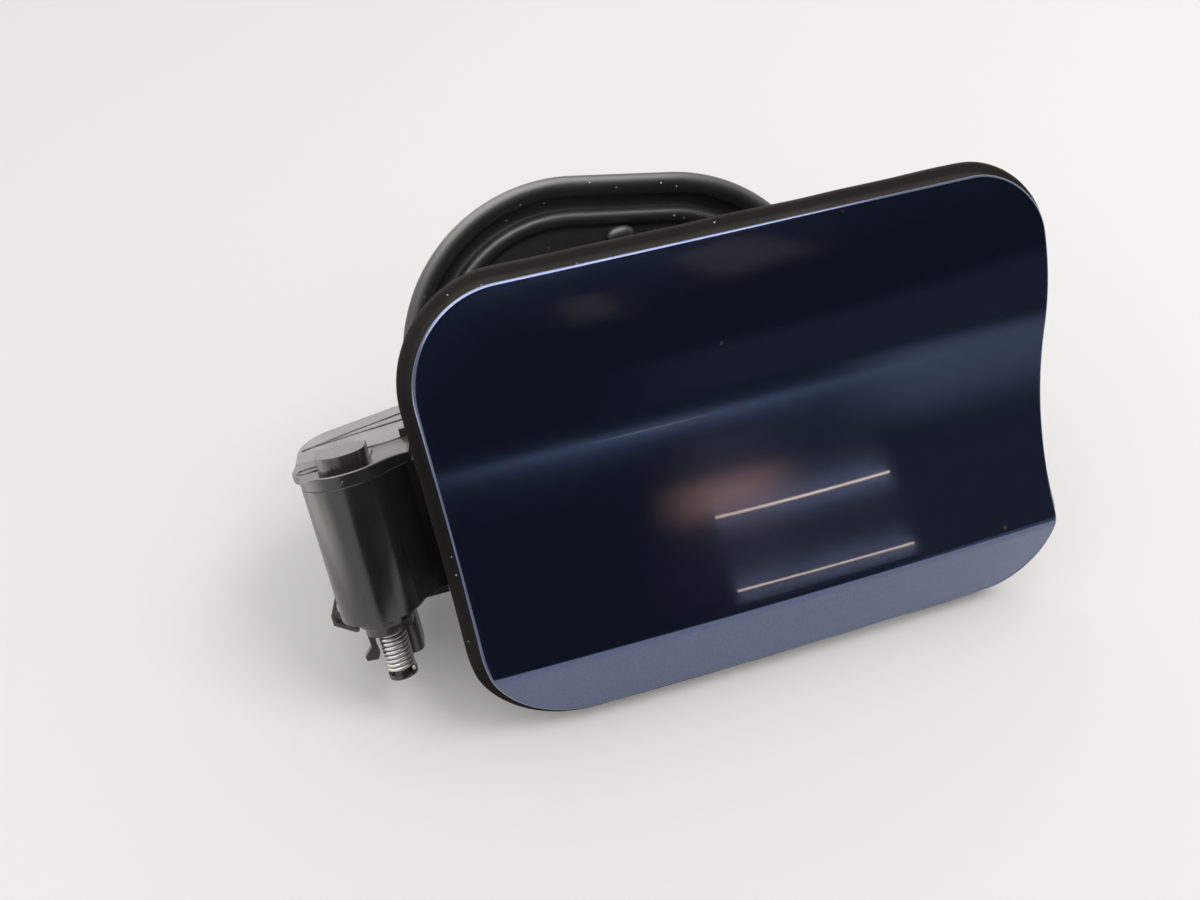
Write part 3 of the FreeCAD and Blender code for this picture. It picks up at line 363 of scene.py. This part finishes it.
def ribs(name, paths, radius, slot, part):
    """Round beads along lists of points, as one piece."""
    points, faces = [], []
    for path in paths:
        start = len(points)
        more, quads = tube(path, radius, sides=10)
        points += more
        faces += [tuple(start + k for k in face) for face in quads]
    piece = new_piece(name, points, faces, slot)
    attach(piece, part)
    return piece


def block(name, outline, y, thickness, slot, part):
    """Flat piece with an outline of (x, z) points, as thick as given along Y, its edges softened."""
    count = len(outline)
    points = [(x, y + half, z) for half in (-thickness / 2, thickness / 2) for x, z in outline]
    faces = strip_faces(2, count) + [tuple(range(count)), tuple(range(2 * count - 1, count - 1, -1))]
    piece = new_piece(name, points, faces, slot, smooth=False)
    work = bmesh.new()
    work.from_mesh(piece.data)
    bmesh.ops.bevel(work, geom=work.edges[:], offset=BLOCK_EDGE * MM, segments=3, profile=0.5,
                    affect="EDGES", clamp_overlap=True)
    work.to_mesh(piece.data)
    work.free()
    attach(piece, part)
    return piece


def lid_z(y):
    """Top of the housing's lid, or of its hood, at one depth."""
    return max(LID_BACK_Z + (y - LID_BACK_Y) * LID_DROP / LID_DEPTH, HOOD_TOP)


def lid_ribs():
    """Beads moulded on the housing's lid, and the loop on its hood, left of the ear."""
    plans = (((-108.0, -25.9), (-99.0, -21.6), (-90.5, -18.0), (-82.0, -15.0), (-73.0, -11.9)),
             ((-103.5, -24.0), (-92.0, -21.6), (-73.0, -18.5)),
             ((-86.4, -36.3), (-79.0, -35.0), (-73.0, -34.0)),
             ((-100.2, -45.4), (-104.8, -46.3), (-107.2, -47.6), (-107.4, -50.2), (-105.8, -52.0),
              (-100.4, -51.2)))
    paths = [[(x, y, lid_z(y) - RIB_SINK) for x, y in plan] for plan in plans]
    return ribs("lid_ribs", paths, RIB_RADIUS, "housing_plastic", "housing")


def barrel_hood():
    """Flat front of the lid over barrel and arm root, with a raised lip in front of the upper ear."""
    outline = [(-72.3, -35.6), (-109.4, -35.6), (-109.4, -46.4), (-109.0, -49.2), (-108.1, -52.2),
               (-106.9, -54.8)]
    lips = [0.0] * len(outline)
    lip_start, lip_run = 200, 40  # degrees round the barrel over which the lip rises
    for k in range(175, 316, 5):
        outline.append((HINGE[0] + HOOD_RADIUS * math.cos(math.radians(k)),
                        HINGE[1] + HOOD_RADIUS * math.sin(math.radians(k))))
        rise = min(max((k - lip_start) / lip_run, 0.0), 1.0)
        lips.append(HOOD_LIP * rise * rise * (3 - 2 * rise))
    outline += [(-80.4, -65.2), (-77.6, -62.2), (-75.2, -59.9), (-73.6, -58.6), (-72.3, -57.8)]
    lips += [HOOD_LIP * share for share in (0.9, 0.75, 0.55, 0.35, 0.2)]
    count = len(outline)
    # Inset from the outline, share of the lip's height, height over the hood's top.
    section = ((0.0, 0.0, -HOOD_DEPTH), (0.0, 1.0, -0.6), (0.0, 1.0, -0.35), (0.1, 1.0, -0.1),
               (0.35, 1.0, 0.0), (0.75, 1.0, 0.0), (1.0, 0.8, -HOOD_DIP), (1.2, 0.0, -HOOD_DIP))
    points = []
    for inset, share, height in section:
        for k, (x, y) in enumerate(outline):
            along = (Vector(outline[(k + 1) % count]) - Vector(outline[k - 1])).normalized()
            points.append((x - along.y * inset, y + along.x * inset, HOOD_TOP + height + share * lips[k]))
    for height in (-HOOD_DIP, -HOOD_DEPTH):
        for x, y in outline:
            out = Vector((x - HINGE[0], y - HINGE[1])).normalized() * HOOD_BORE
            points.append((HINGE[0] + out.x, HINGE[1] + out.y, HOOD_TOP + height))
    faces = strip_faces(len(section) + 2, count, close_rows=True)
    piece = new_piece("barrel_hood", points, faces, "housing_plastic")
    piece.data.set_sharp_from_angle(angle=math.radians(50))
    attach(piece, "housing")
    return piece


def spring_foot():
    """Small foot on the lower ear, beside the spring."""
    return block("spring_foot", ((-97.4, -55.2), (-99.4, -55.2), (-99.2, -59.6), (-101.9, -62.6),
                                 (-101.6, -64.2), (-98.0, -64.6), (-97.2, -63.0), (-97.6, -60.0)),
                 -60.0, 3.0, "housing_plastic", "housing")


def pot_nub():
    """Moulding nub on the pot's inner lip."""
    points = []
    rings, columns = 9, 24
    for r in range(rings):
        angle = math.pi * r / (rings - 1)
        for c in range(columns):
            turn = 2 * math.pi * c / columns
            points.append((NUB_CENTRE[0] + NUB_HALF[0] * math.sin(angle) * math.cos(turn),
                           NUB_CENTRE[1] + NUB_HALF[1] * math.sin(angle) * math.sin(turn),
                           NUB_CENTRE[2] + NUB_HALF[2] * math.cos(angle)))
    piece = new_piece("pot_nub", points, strip_faces(rings, columns), "pot_rubber")
    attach(piece, "housing")
    return piece


# Finishes: effects shared by several materials are node groups, each material keeps its own shader.

def new_group(name, inputs, outputs):
    """An empty node group with its sockets, and its input and output nodes."""
    group = bpy.data.node_groups.new(name, "ShaderNodeTree")
    for label, kind, value in inputs:
        socket = group.interface.new_socket(label, in_out="INPUT", socket_type=kind)
        socket.default_value = value
    for label, kind in outputs:
        group.interface.new_socket(label, in_out="OUTPUT", socket_type=kind)
    return group, group.nodes.new("NodeGroupInput"), group.nodes.new("NodeGroupOutput")


def place(tree, kind, **settings):
    """A node with its settings."""
    node = tree.nodes.new(kind)
    for label, value in settings.items():
        setattr(node, label, value)
    return node


def times(tree, first, second):
    """Product of two masks."""
    node = place(tree, "ShaderNodeMath", operation="MULTIPLY")
    tree.links.new(first, node.inputs[0])
    tree.links.new(second, node.inputs[1])
    return node.outputs["Value"]


def ramp(tree, source, low, high):
    """A mask that rises from 0 to 1 as the source goes from low to high."""
    node = place(tree, "ShaderNodeMapRange", interpolation_type="SMOOTHSTEP")
    node.inputs["From Min"].default_value = low
    node.inputs["From Max"].default_value = high
    tree.links.new(source, node.inputs["Value"])
    return node.outputs["Result"]


def dust_group():
    """Scattered fine specks and a thin veil, more of it on faces that look up."""
    group, given, out = new_group(
        "settled_dust",
        [("Speck Scale", "NodeSocketFloat", 900.0), ("Speck Share", "NodeSocketFloat", 0.1),
         ("Veil", "NodeSocketFloat", 0.2)],
        [("Specks", "NodeSocketFloat"), ("Veil", "NodeSocketFloat")])
    where = place(group, "ShaderNodeTexCoord")
    cells = place(group, "ShaderNodeTexVoronoi", feature="F1")
    patches = place(group, "ShaderNodeTexNoise")
    patches.inputs["Scale"].default_value = 55.0
    patches.inputs["Detail"].default_value = 3.0
    group.links.new(where.outputs["Object"], cells.inputs["Vector"])
    group.links.new(where.outputs["Object"], patches.inputs["Vector"])
    group.links.new(given.outputs["Speck Scale"], cells.inputs["Scale"])
    near = ramp(group, cells.outputs["Distance"], 0.22, 0.10)
    chosen = place(group, "ShaderNodeMath", operation="LESS_THAN")
    tone = place(group, "ShaderNodeSeparateColor")
    group.links.new(cells.outputs["Color"], tone.inputs["Color"])
    group.links.new(tone.outputs["Red"], chosen.inputs[0])
    group.links.new(given.outputs["Speck Share"], chosen.inputs[1])
    group.links.new(times(group, near, chosen.outputs["Value"]), out.inputs["Specks"])
    facing = place(group, "ShaderNodeNewGeometry")
    split = place(group, "ShaderNodeSeparateXYZ")
    group.links.new(facing.outputs["Normal"], split.inputs["Vector"])
    upward = ramp(group, split.outputs["Z"], -0.2, 0.9)
    veil = times(group, upward, patches.outputs["Fac"])
    group.links.new(times(group, veil, given.outputs["Veil"]), out.inputs["Veil"])
    return group


def grain_group():
    """Fine moulded grain for bump, and broad smudges for gloss."""
    group, given, out = new_group(
        "moulded_grain",
        [("Grain Scale", "NodeSocketFloat", 1500.0), ("Smudge Scale", "NodeSocketFloat", 60.0)],
        [("Height", "NodeSocketFloat"), ("Smudge", "NodeSocketFloat")])
    where = place(group, "ShaderNodeTexCoord")
    grain = place(group, "ShaderNodeTexNoise")
    grain.inputs["Detail"].default_value = 4.0
    smudge = place(group, "ShaderNodeTexNoise")
    smudge.inputs["Detail"].default_value = 5.0
    smudge.inputs["Distortion"].default_value = 0.6
    for node, scale in ((grain, "Grain Scale"), (smudge, "Smudge Scale")):
        group.links.new(where.outputs["Object"], node.inputs["Vector"])
        group.links.new(given.outputs[scale], node.inputs["Scale"])
    group.links.new(grain.outputs["Fac"], out.inputs["Height"])
    group.links.new(smudge.outputs["Fac"], out.inputs["Smudge"])
    return group


def wear_group():
    """Light rubbing along edges that stand out."""
    group, given, out = new_group("rubbed_edges", [("Reach", "NodeSocketFloat", 0.6)],
                                  [("Rub", "NodeSocketFloat")])
    shape = place(group, "ShaderNodeNewGeometry")
    where = place(group, "ShaderNodeTexCoord")
    patches = place(group, "ShaderNodeTexNoise")
    patches.inputs["Scale"].default_value = 240.0
    group.links.new(where.outputs["Object"], patches.inputs["Vector"])
    edge = ramp(group, shape.outputs["Pointiness"], 0.53, 0.62)
    broken = ramp(group, patches.outputs["Fac"], 0.42, 0.66)
    rub = times(group, edge, broken)
    group.links.new(times(group, rub, given.outputs["Reach"]), out.inputs["Rub"])
    return group


DUST, GRAIN, WEAR = dust_group(), grain_group(), wear_group()


def use(tree, group, **values):
    """A shared group placed in a material, with that material's own values on its sockets."""
    node = place(tree, "ShaderNodeGroup", node_tree=group)
    for label, value in values.items():
        node.inputs[label.replace("_", " ")].default_value = value
    return node


def tint(tree, mask, base, over):
    """Base colour, turning to another where the mask is 1; base is a colour or a socket."""
    mix = place(tree, "ShaderNodeMix", data_type="RGBA")
    tree.links.new(mask, mix.inputs["Factor"])
    if isinstance(base, bpy.types.NodeSocket):
        tree.links.new(base, mix.inputs["A"])
    else:
        mix.inputs["A"].default_value = (*base, 1)
    mix.inputs["B"].default_value = (*over, 1)
    return mix.outputs["Result"]


def between(tree, mask, low, high):
    """A value that goes from low to high with the mask."""
    node = place(tree, "ShaderNodeMapRange")
    node.inputs["To Min"].default_value = low
    node.inputs["To Max"].default_value = high
    tree.links.new(mask, node.inputs["Value"])
    return node.outputs["Result"]


def new_material(name):
    """A material with its node tree and its shader."""
    material = bpy.data.materials.new(name)
    material.use_nodes = True
    tree = material.node_tree
    return material, tree, tree.nodes["Principled BSDF"]


def bump(tree, shader, height, strength, distance):
    """Relief from a height mask, on the shader's normal."""
    node = place(tree, "ShaderNodeBump")
    node.inputs["Strength"].default_value = strength
    node.inputs["Distance"].default_value = distance
    tree.links.new(height, node.inputs["Height"])
    tree.links.new(node.outputs["Normal"], shader.inputs["Normal"])


def navy_paint():
    """Dark metallic base with fine flake under a clear coat."""
    material, tree, shader = new_material("navy_paint")
    where = place(tree, "ShaderNodeTexCoord")
    flake = place(tree, "ShaderNodeTexVoronoi")
    flake.inputs["Scale"].default_value = 4200.0
    tree.links.new(where.outputs["Object"], flake.inputs["Vector"])
    tone = place(tree, "ShaderNodeSeparateColor")
    tree.links.new(flake.outputs["Color"], tone.inputs["Color"])
    colour = tint(tree, tone.outputs["Green"], (0.048, 0.071, 0.155), (0.092, 0.128, 0.250))
    dust = use(tree, DUST, Speck_Scale=230.0, Speck_Share=0.012, Veil=0.06)
    dusty = tint(tree, dust.outputs["Veil"], colour, (0.30, 0.28, 0.26))
    specked = tint(tree, dust.outputs["Specks"], dusty, (0.42, 0.41, 0.40))
    tree.links.new(specked, shader.inputs["Base Color"])
    shader.inputs["Metallic"].default_value = 0.95
    grain = use(tree, GRAIN, Grain_Scale=900.0, Smudge_Scale=35.0)
    tree.links.new(between(tree, grain.outputs["Smudge"], 0.14, 0.19), shader.inputs["Roughness"])
    shader.inputs["Coat Weight"].default_value = 1.0
    shader.inputs["Coat Roughness"].default_value = 0.025
    shader.inputs["Coat IOR"].default_value = 1.58
    return material


def moulded(name, colour, rough, grain, relief, veil, specks=0.0, worn=(0.2, 0.2, 0.2), rub=0.08, gloss=0.5):
    """Plastic or rubber: grain, smudged gloss, dust on top and rubbed edges."""
    material, tree, shader = new_material(name)
    skin = use(tree, GRAIN, Grain_Scale=grain, Smudge_Scale=70.0)
    dust = use(tree, DUST, Speck_Scale=620.0, Speck_Share=specks, Veil=veil)
    wear = use(tree, WEAR, Reach=rub)
    shade = tint(tree, skin.outputs["Smudge"], tuple(c * 0.75 for c in colour),
                 tuple(c * 1.25 for c in colour))
    rubbed = tint(tree, wear.outputs["Rub"], shade, worn)
    veiled = tint(tree, dust.outputs["Veil"], rubbed, (0.42, 0.38, 0.34))
    dotted = tint(tree, dust.outputs["Specks"], veiled, (0.62, 0.61, 0.58))
    tree.links.new(dotted, shader.inputs["Base Color"])
    tree.links.new(between(tree, skin.outputs["Smudge"], rough - 0.07, rough + 0.1),
                   shader.inputs["Roughness"])
    shader.inputs["Specular IOR Level"].default_value = gloss
    bump(tree, shader, skin.outputs["Height"], relief, 0.0002)
    return material


def drawn_metal(name, colour, rough, streak):
    """Steel with fine streaks and a little tarnish."""
    material, tree, shader = new_material(name)
    where = place(tree, "ShaderNodeTexCoord")
    stretch = place(tree, "ShaderNodeMapping")
    stretch.inputs["Scale"].default_value = streak
    lines = place(tree, "ShaderNodeTexNoise")
    lines.inputs["Scale"].default_value = 700.0
    lines.inputs["Detail"].default_value = 3.0
    tree.links.new(where.outputs["Object"], stretch.inputs["Vector"])
    tree.links.new(stretch.outputs["Vector"], lines.inputs["Vector"])
    grain = use(tree, GRAIN, Grain_Scale=900.0, Smudge_Scale=160.0)
    tarnish = tint(tree, grain.outputs["Smudge"], tuple(c * 0.7 for c in colour), colour)
    tree.links.new(tarnish, shader.inputs["Base Color"])
    shader.inputs["Metallic"].default_value = 1.0
    tree.links.new(between(tree, lines.outputs["Fac"], rough - 0.1, rough + 0.12), shader.inputs["Roughness"])
    bump(tree, shader, lines.outputs["Fac"], 0.15, 0.0001)
    return material


MOULDED = {
    "backing_plastic": dict(colour=(0.022, 0.022, 0.023), rough=0.55, grain=1400.0, relief=0.35, veil=0.25),
    "hinge_plastic": dict(colour=(0.009, 0.010, 0.008), rough=0.23, grain=1700.0, relief=0.05, veil=0.06,
                          specks=0.01, gloss=0.9),
    "housing_plastic": dict(colour=(0.013, 0.013, 0.012), rough=0.25, grain=1500.0, relief=0.06, veil=0.45,
                            specks=0.02, gloss=0.8),
    "hood_plastic": dict(colour=(0.009, 0.010, 0.008), rough=0.23, grain=1700.0, relief=0.05, veil=0.45,
                         specks=0.02, rub=0.0, gloss=0.9),
    "seal_rubber": dict(colour=(0.011, 0.010, 0.008), rough=0.75, grain=800.0, relief=0.4, veil=0.10,
                        specks=0.02, gloss=0.12),
    "pot_rubber": dict(colour=(0.016, 0.018, 0.014), rough=0.42, grain=1000.0, relief=0.06, veil=0.13,
                       specks=0.08, gloss=1.0),
    "bush_nylon": dict(colour=(0.55, 0.53, 0.48), rough=0.45, grain=1500.0, relief=0.1, veil=0.1,
                       worn=(0.6, 0.58, 0.55)),
}
DRAWN = {
    "spring_wire": dict(colour=(0.66, 0.65, 0.63), rough=0.3, streak=(1, 1, 6)),
    "pin_steel": dict(colour=(0.5, 0.5, 0.5), rough=0.32, streak=(1, 1, 0.2)),
    "screw_zinc": dict(colour=(0.6, 0.59, 0.55), rough=0.36, streak=(1, 1, 1)),
    "clip_steel": dict(colour=(0.14, 0.13, 0.12), rough=0.42, streak=(1, 1, 4)),
}
FINISHES = {"flap_paint": navy_paint()}
FINISHES.update((name, moulded(name, **look)) for name, look in MOULDED.items())
FINISHES.update((name, drawn_metal(name, **look)) for name, look in DRAWN.items())


def finish(piece, name):
    """One finish all over a piece."""
    piece.data.materials.clear()
    piece.data.materials.append(FINISHES[name])


for made, look in ((painted_panel(), "flap_paint"), (edge_seal(), "seal_rubber"),
                   (moulded_pot(), "pot_rubber"), (pot_nub(), "pot_rubber"), (coil_spring(), "spring_wire"),
                   (lid_ribs(), "housing_plastic"), (barrel_hood(), "hood_plastic"),
                   (spring_foot(), "housing_plastic")):
    finish(made, look)

# CAD nodes that stay: soft edges and their own finish.
ROUNDED = {"hinge_arm": 0.35, "hinge_housing": 0.7, "latch_striker": 0.5, "cap_holder": 0.4,
           "retaining_clip": 0.25, "flap_backing": 0.6, "drain_spigot": 0.3, "arm_screws": 0.25,
           "striker_screws": 0.25, "pin_cap": 0.4, "upper_buffer": 1.2, "lower_buffer": 1.2,
           "pot_rivets": 0.25, "hinge_pin": 0.3}
for entry in frame["record"]["subparts"]:
    node = frame["nodes"][entry["node"]]
    finish(node, entry["material_slot"])
    if entry["node"] in ROUNDED:
        weld = node.modifiers.new("Joined", "WELD")
        weld.merge_threshold = 0.01 * MM
        soft = node.modifiers.new("Soft edges", "BEVEL")
        soft.width = ROUNDED[entry["node"]] * MM
        soft.segments = 3
        soft.limit_method = "ANGLE"
        soft.angle_limit = math.radians(35)
        soft.harden_normals = True


# Stage: table, lamps and camera

TABLE_NORMAL = Vector((0.0, -0.5, 0.866)).normalized()
TABLE_FRONT = Vector((0.0, -0.866, -0.5)).normalized()  # along the table, towards the camera
TABLE_REACH, TABLE_CLEARANCE = 3.0, 0.0003
CARD_RADIUS = 0.30
CARD_SIDES = [math.radians(a) for a in range(-38, 75, 4)]
CARD_LEVELS = (-0.053, 0.10, 0.25, 0.42, 0.60, 0.90)
BLACK = (0.002, 0.002, 0.002, 1)
# Camera that was fitted to the flap's edges
CAMERA_SPOT, CAMERA_LENS = (-0.0554, -0.3318, 0.0603), 27.09
CAMERA_RIGHT, CAMERA_UP = Vector((0.959, -0.199, -0.200)), Vector((0.244, 0.229, 0.942))


def table():
    """White table, tilted as the flap lies on it, that shows from above only."""
    material, tree, shader = new_material("white_table")
    shader.inputs["Base Color"].default_value = (0.86, 0.855, 0.84, 1)
    shader.inputs["Roughness"].default_value = 0.7
    shader.inputs["Specular IOR Level"].default_value = 0.0
    clear = place(tree, "ShaderNodeBsdfTransparent")
    side = place(tree, "ShaderNodeNewGeometry")
    mix = place(tree, "ShaderNodeMixShader")
    tree.links.new(side.outputs["Backfacing"], mix.inputs["Fac"])
    tree.links.new(shader.outputs["BSDF"], mix.inputs[1])
    tree.links.new(clear.outputs["BSDF"], mix.inputs[2])
    tree.links.new(mix.outputs["Shader"], tree.nodes["Material Output"].inputs["Surface"])
    lowest = 1e9
    graph = bpy.context.evaluated_depsgraph_get()
    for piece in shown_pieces():
        shape = piece.evaluated_get(graph)
        mesh = shape.to_mesh()
        lowest = min([lowest] + [(shape.matrix_world @ v.co).dot(TABLE_NORMAL) for v in mesh.vertices])
        shape.to_mesh_clear()
    mesh = bpy.data.meshes.new("table")
    across = Vector((1, 0, 0))
    along = TABLE_NORMAL.cross(across)
    middle = TABLE_NORMAL * (lowest - TABLE_CLEARANCE)
    corners = [middle + across * a * TABLE_REACH + along * b * TABLE_REACH
               for a, b in ((-1, -1), (1, -1), (1, 1), (-1, 1))]
    mesh.from_pydata([tuple(c) for c in corners], [], [(0, 1, 2, 3)])
    mesh.materials.append(material)
    top = bpy.data.objects.new("table", mesh)
    scene.collection.objects.link(top)
    top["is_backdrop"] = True


def lamp(name, spot, aim, size, power, colour=(1, 1, 1)):
    """Soft rectangular lamp that faces a point."""
    data = bpy.data.lights.new(name, "AREA")
    data.shape = "RECTANGLE"
    data.size, data.size_y = size
    data.energy = power
    data.color = colour
    thing = bpy.data.objects.new(name, data)
    scene.collection.objects.link(thing)
    thing.location = spot
    thing.rotation_mode = "QUATERNION"
    thing.rotation_quaternion = (Vector(aim) - Vector(spot)).to_track_quat("-Z", "Y")
    thing.visible_camera = False
    return thing


def surroundings():
    """Pale room all round."""
    world = bpy.data.worlds.new("room")
    scene.world = world
    world.use_nodes = True
    sky = world.node_tree.nodes["Background"]
    sky.inputs["Color"].default_value = (0.90, 0.90, 0.895, 1)
    sky.inputs["Strength"].default_value = 0.88


def card(name, points, faces, chart, material):
    """Card on the stage that only gloss shows; the chart has a place on its map for each point."""
    mesh = bpy.data.meshes.new(name)
    mesh.from_pydata([tuple(spot) for spot in points], [], faces)
    layer = mesh.uv_layers.new(name="card")
    for corner in mesh.loops:
        layer.data[corner.index].uv = chart[corner.vertex_index]
    mesh.materials.append(material)
    thing = bpy.data.objects.new(name, mesh)
    scene.collection.objects.link(thing)
    thing.visible_camera = False
    thing.visible_diffuse = False
    thing.visible_transmission = False
    thing.visible_shadow = False
    thing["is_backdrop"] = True


def painted_reflection_card():
    """Dark card bent round the front of the flap, that only gloss shows: a painted dark reflection of the
    room.

    Its map has the direction from the flap, in radians, across and the height above the frame's
    origin, in metres, up. The pale foot on its right and the warm patches glow with their own colour:
    they are painted reflections of a pale band and of warm lights.
    """
    material, tree, shader = new_material("painted_reflection_card")
    where = place(tree, "ShaderNodeTexCoord")
    split = place(tree, "ShaderNodeSeparateXYZ")
    tree.links.new(where.outputs["UV"], split.inputs["Vector"])
    side, height = split.outputs["X"], split.outputs["Y"]

    def patch(left, right, foot, head):
        """Mask with soft sides; each side is (where it is 0, where it is 1)."""
        masks = [ramp(tree, side, *left), ramp(tree, side, *right), ramp(tree, height, *foot),
                 ramp(tree, height, *head)]
        product = masks[0]
        for mask in masks[1:]:
            product = times(tree, product, mask)
        return product

    always, never = (-9.0, -8.0), (9.0, 8.0)
    # Painted reflections: each patch glows with its colour, so the paint shows a pale band and warm glows.
    patches = (
        (patch((-0.2, 0.2), never, (-0.01, 0.03), (0.15, 0.10)), (0.050, 0.047, 0.056)),
        (patch((-0.05, 0.20), never, always, (0.014, -0.022)), (0.020, 0.026, 0.034)),
        (patch((0.36, 0.62), never, always, (0.014, -0.022)), (0.225, 0.245, 0.27)),
        (patch((-0.14, -0.07), (0.06, 0.0), (0.27, 0.33), (0.46, 0.40)), (0.15, 0.11, 0.08)),
        (patch((0.28, 0.38), (0.66, 0.56), (0.30, 0.38), (0.58, 0.50)), (0.16, 0.12, 0.09)))
    # Painted dark reflection of the room, under the patches.
    colour = (0.006, 0.006, 0.008)
    for mask, light in patches:
        colour = tint(tree, mask, colour, light)
    tree.links.new(colour, shader.inputs["Emission Color"])
    shader.inputs["Emission Strength"].default_value = 1.0
    shader.inputs["Base Color"].default_value = BLACK
    shader.inputs["Roughness"].default_value = 1.0
    shader.inputs["Specular IOR Level"].default_value = 0.0
    middle = Vector((0.05, 0, 0)) + TABLE_FRONT * 0.05
    points, chart = [], []
    for level in CARD_LEVELS:
        for a in CARD_SIDES:
            out = Vector((1, 0, 0)) * math.sin(a) + TABLE_FRONT * math.cos(a)
            points.append(middle + out * CARD_RADIUS + TABLE_NORMAL * level)
            chart.append((a, level))
    faces = strip_faces(len(CARD_LEVELS), len(CARD_SIDES), close_columns=False)
    card("painted_reflection_card", points, faces, chart, material)


def glow_card(name, corners, light):
    """Small card, soft all round, that shines on gloss only."""
    material, tree, shader = new_material(name)
    where = place(tree, "ShaderNodeTexCoord")
    split = place(tree, "ShaderNodeSeparateXYZ")
    tree.links.new(where.outputs["UV"], split.inputs["Vector"])
    mask = None
    for axis in "XY":
        for low, high in ((0.0, 0.45), (1.0, 0.55)):
            side = ramp(tree, split.outputs[axis], low, high)
            mask = side if mask is None else times(tree, mask, side)
    tree.links.new(mask, shader.inputs["Alpha"])
    shader.inputs["Base Color"].default_value = BLACK
    shader.inputs["Specular IOR Level"].default_value = 0.0
    shader.inputs["Emission Color"].default_value = (*light, 1)
    shader.inputs["Emission Strength"].default_value = 1.0
    card(name, corners, [(0, 1, 2, 3)], ((0, 0), (1, 0), (1, 1), (0, 1)), material)


def tube_lamp(name, start, end, aim, width, power):
    """Thin warm tube between two points that faces a third."""
    start, end, aim = Vector(start), Vector(end), Vector(aim)
    along = (end - start).normalized()
    middle = (start + end) / 2
    towards = aim - middle
    towards = (towards - along * towards.dot(along)).normalized()
    thing = lamp(name, middle, aim, ((end - start).length, width), power, (1.0, 0.80, 0.62))
    thing.matrix_world = Matrix.Translation(middle) @ Matrix(
        (along, along.cross(towards), -towards)).transposed().to_4x4()


def camera():
    """Camera where the photograph was taken from."""
    data = bpy.data.cameras.new("photograph")
    data.sensor_fit = "HORIZONTAL"
    data.sensor_width = 36.0
    data.lens = CAMERA_LENS
    data.clip_start = 0.01
    thing = bpy.data.objects.new("photograph", data)
    scene.collection.objects.link(thing)
    right = CAMERA_RIGHT.normalized()
    up = (CAMERA_UP - right * CAMERA_UP.dot(right)).normalized()
    turn = Matrix((right, up, right.cross(up))).transposed().to_4x4()
    thing.matrix_world = Matrix.Translation(CAMERA_SPOT) @ turn
    scene.camera = thing


table()
surroundings()
painted_reflection_card()
glow_card("warm_glow", ((-0.003, -0.1196, -0.0590), (0.066, -0.1170, -0.0575), (0.064, -0.1137, -0.0485),
                        (-0.004, -0.1163, -0.0500)), (1.25, 0.62, 0.36))
ceiling = lamp("ceiling", (1.3, -1.6, 1.4), (0.0, -0.06, -0.03), (1.0, 1.0), 20.0, (1.0, 0.95, 0.9))
ceiling.visible_glossy = False  # lights what is matt only
rim = lamp("rim", (-0.3, 1.0, 0.75), (-0.05, -0.05, 0.0), (0.9, 0.7), 3.2, (1.0, 0.96, 0.92))
overhead = lamp("overhead", (-0.15, -0.35, 1.0), (-0.05, -0.05, 0.0), (1.4, 1.4), 21.0)
for gloss_lamp in (rim, overhead):
    gloss_lamp.visible_diffuse = False  # shines on gloss only
left_foot = Vector((-0.2, 0, 0)) - TABLE_NORMAL * 0.055
left_corners = ((0.17, 0.0), (-0.05, 0.0), (-0.05, 0.13), (0.17, 0.13))
glow_card("left_glow", [left_foot + TABLE_FRONT * front + TABLE_NORMAL * rise for front, rise in left_corners],
          (2.4, 2.35, 2.2))
tube_lamp("upper_tube", (0.0234, -0.1189, -0.0572), (0.0927, -0.1152, -0.0564),
          aim=(0.0427, -0.078, -0.0415), width=0.0003, power=0.0007)
tube_lamp("lower_tube", (0.0257, -0.1247, -0.0673), (0.0970, -0.1207, -0.0677),
          aim=(0.0459, -0.0808, -0.0667), width=0.00026, power=0.0006)
camera()
scene.view_settings.view_transform = "Standard"
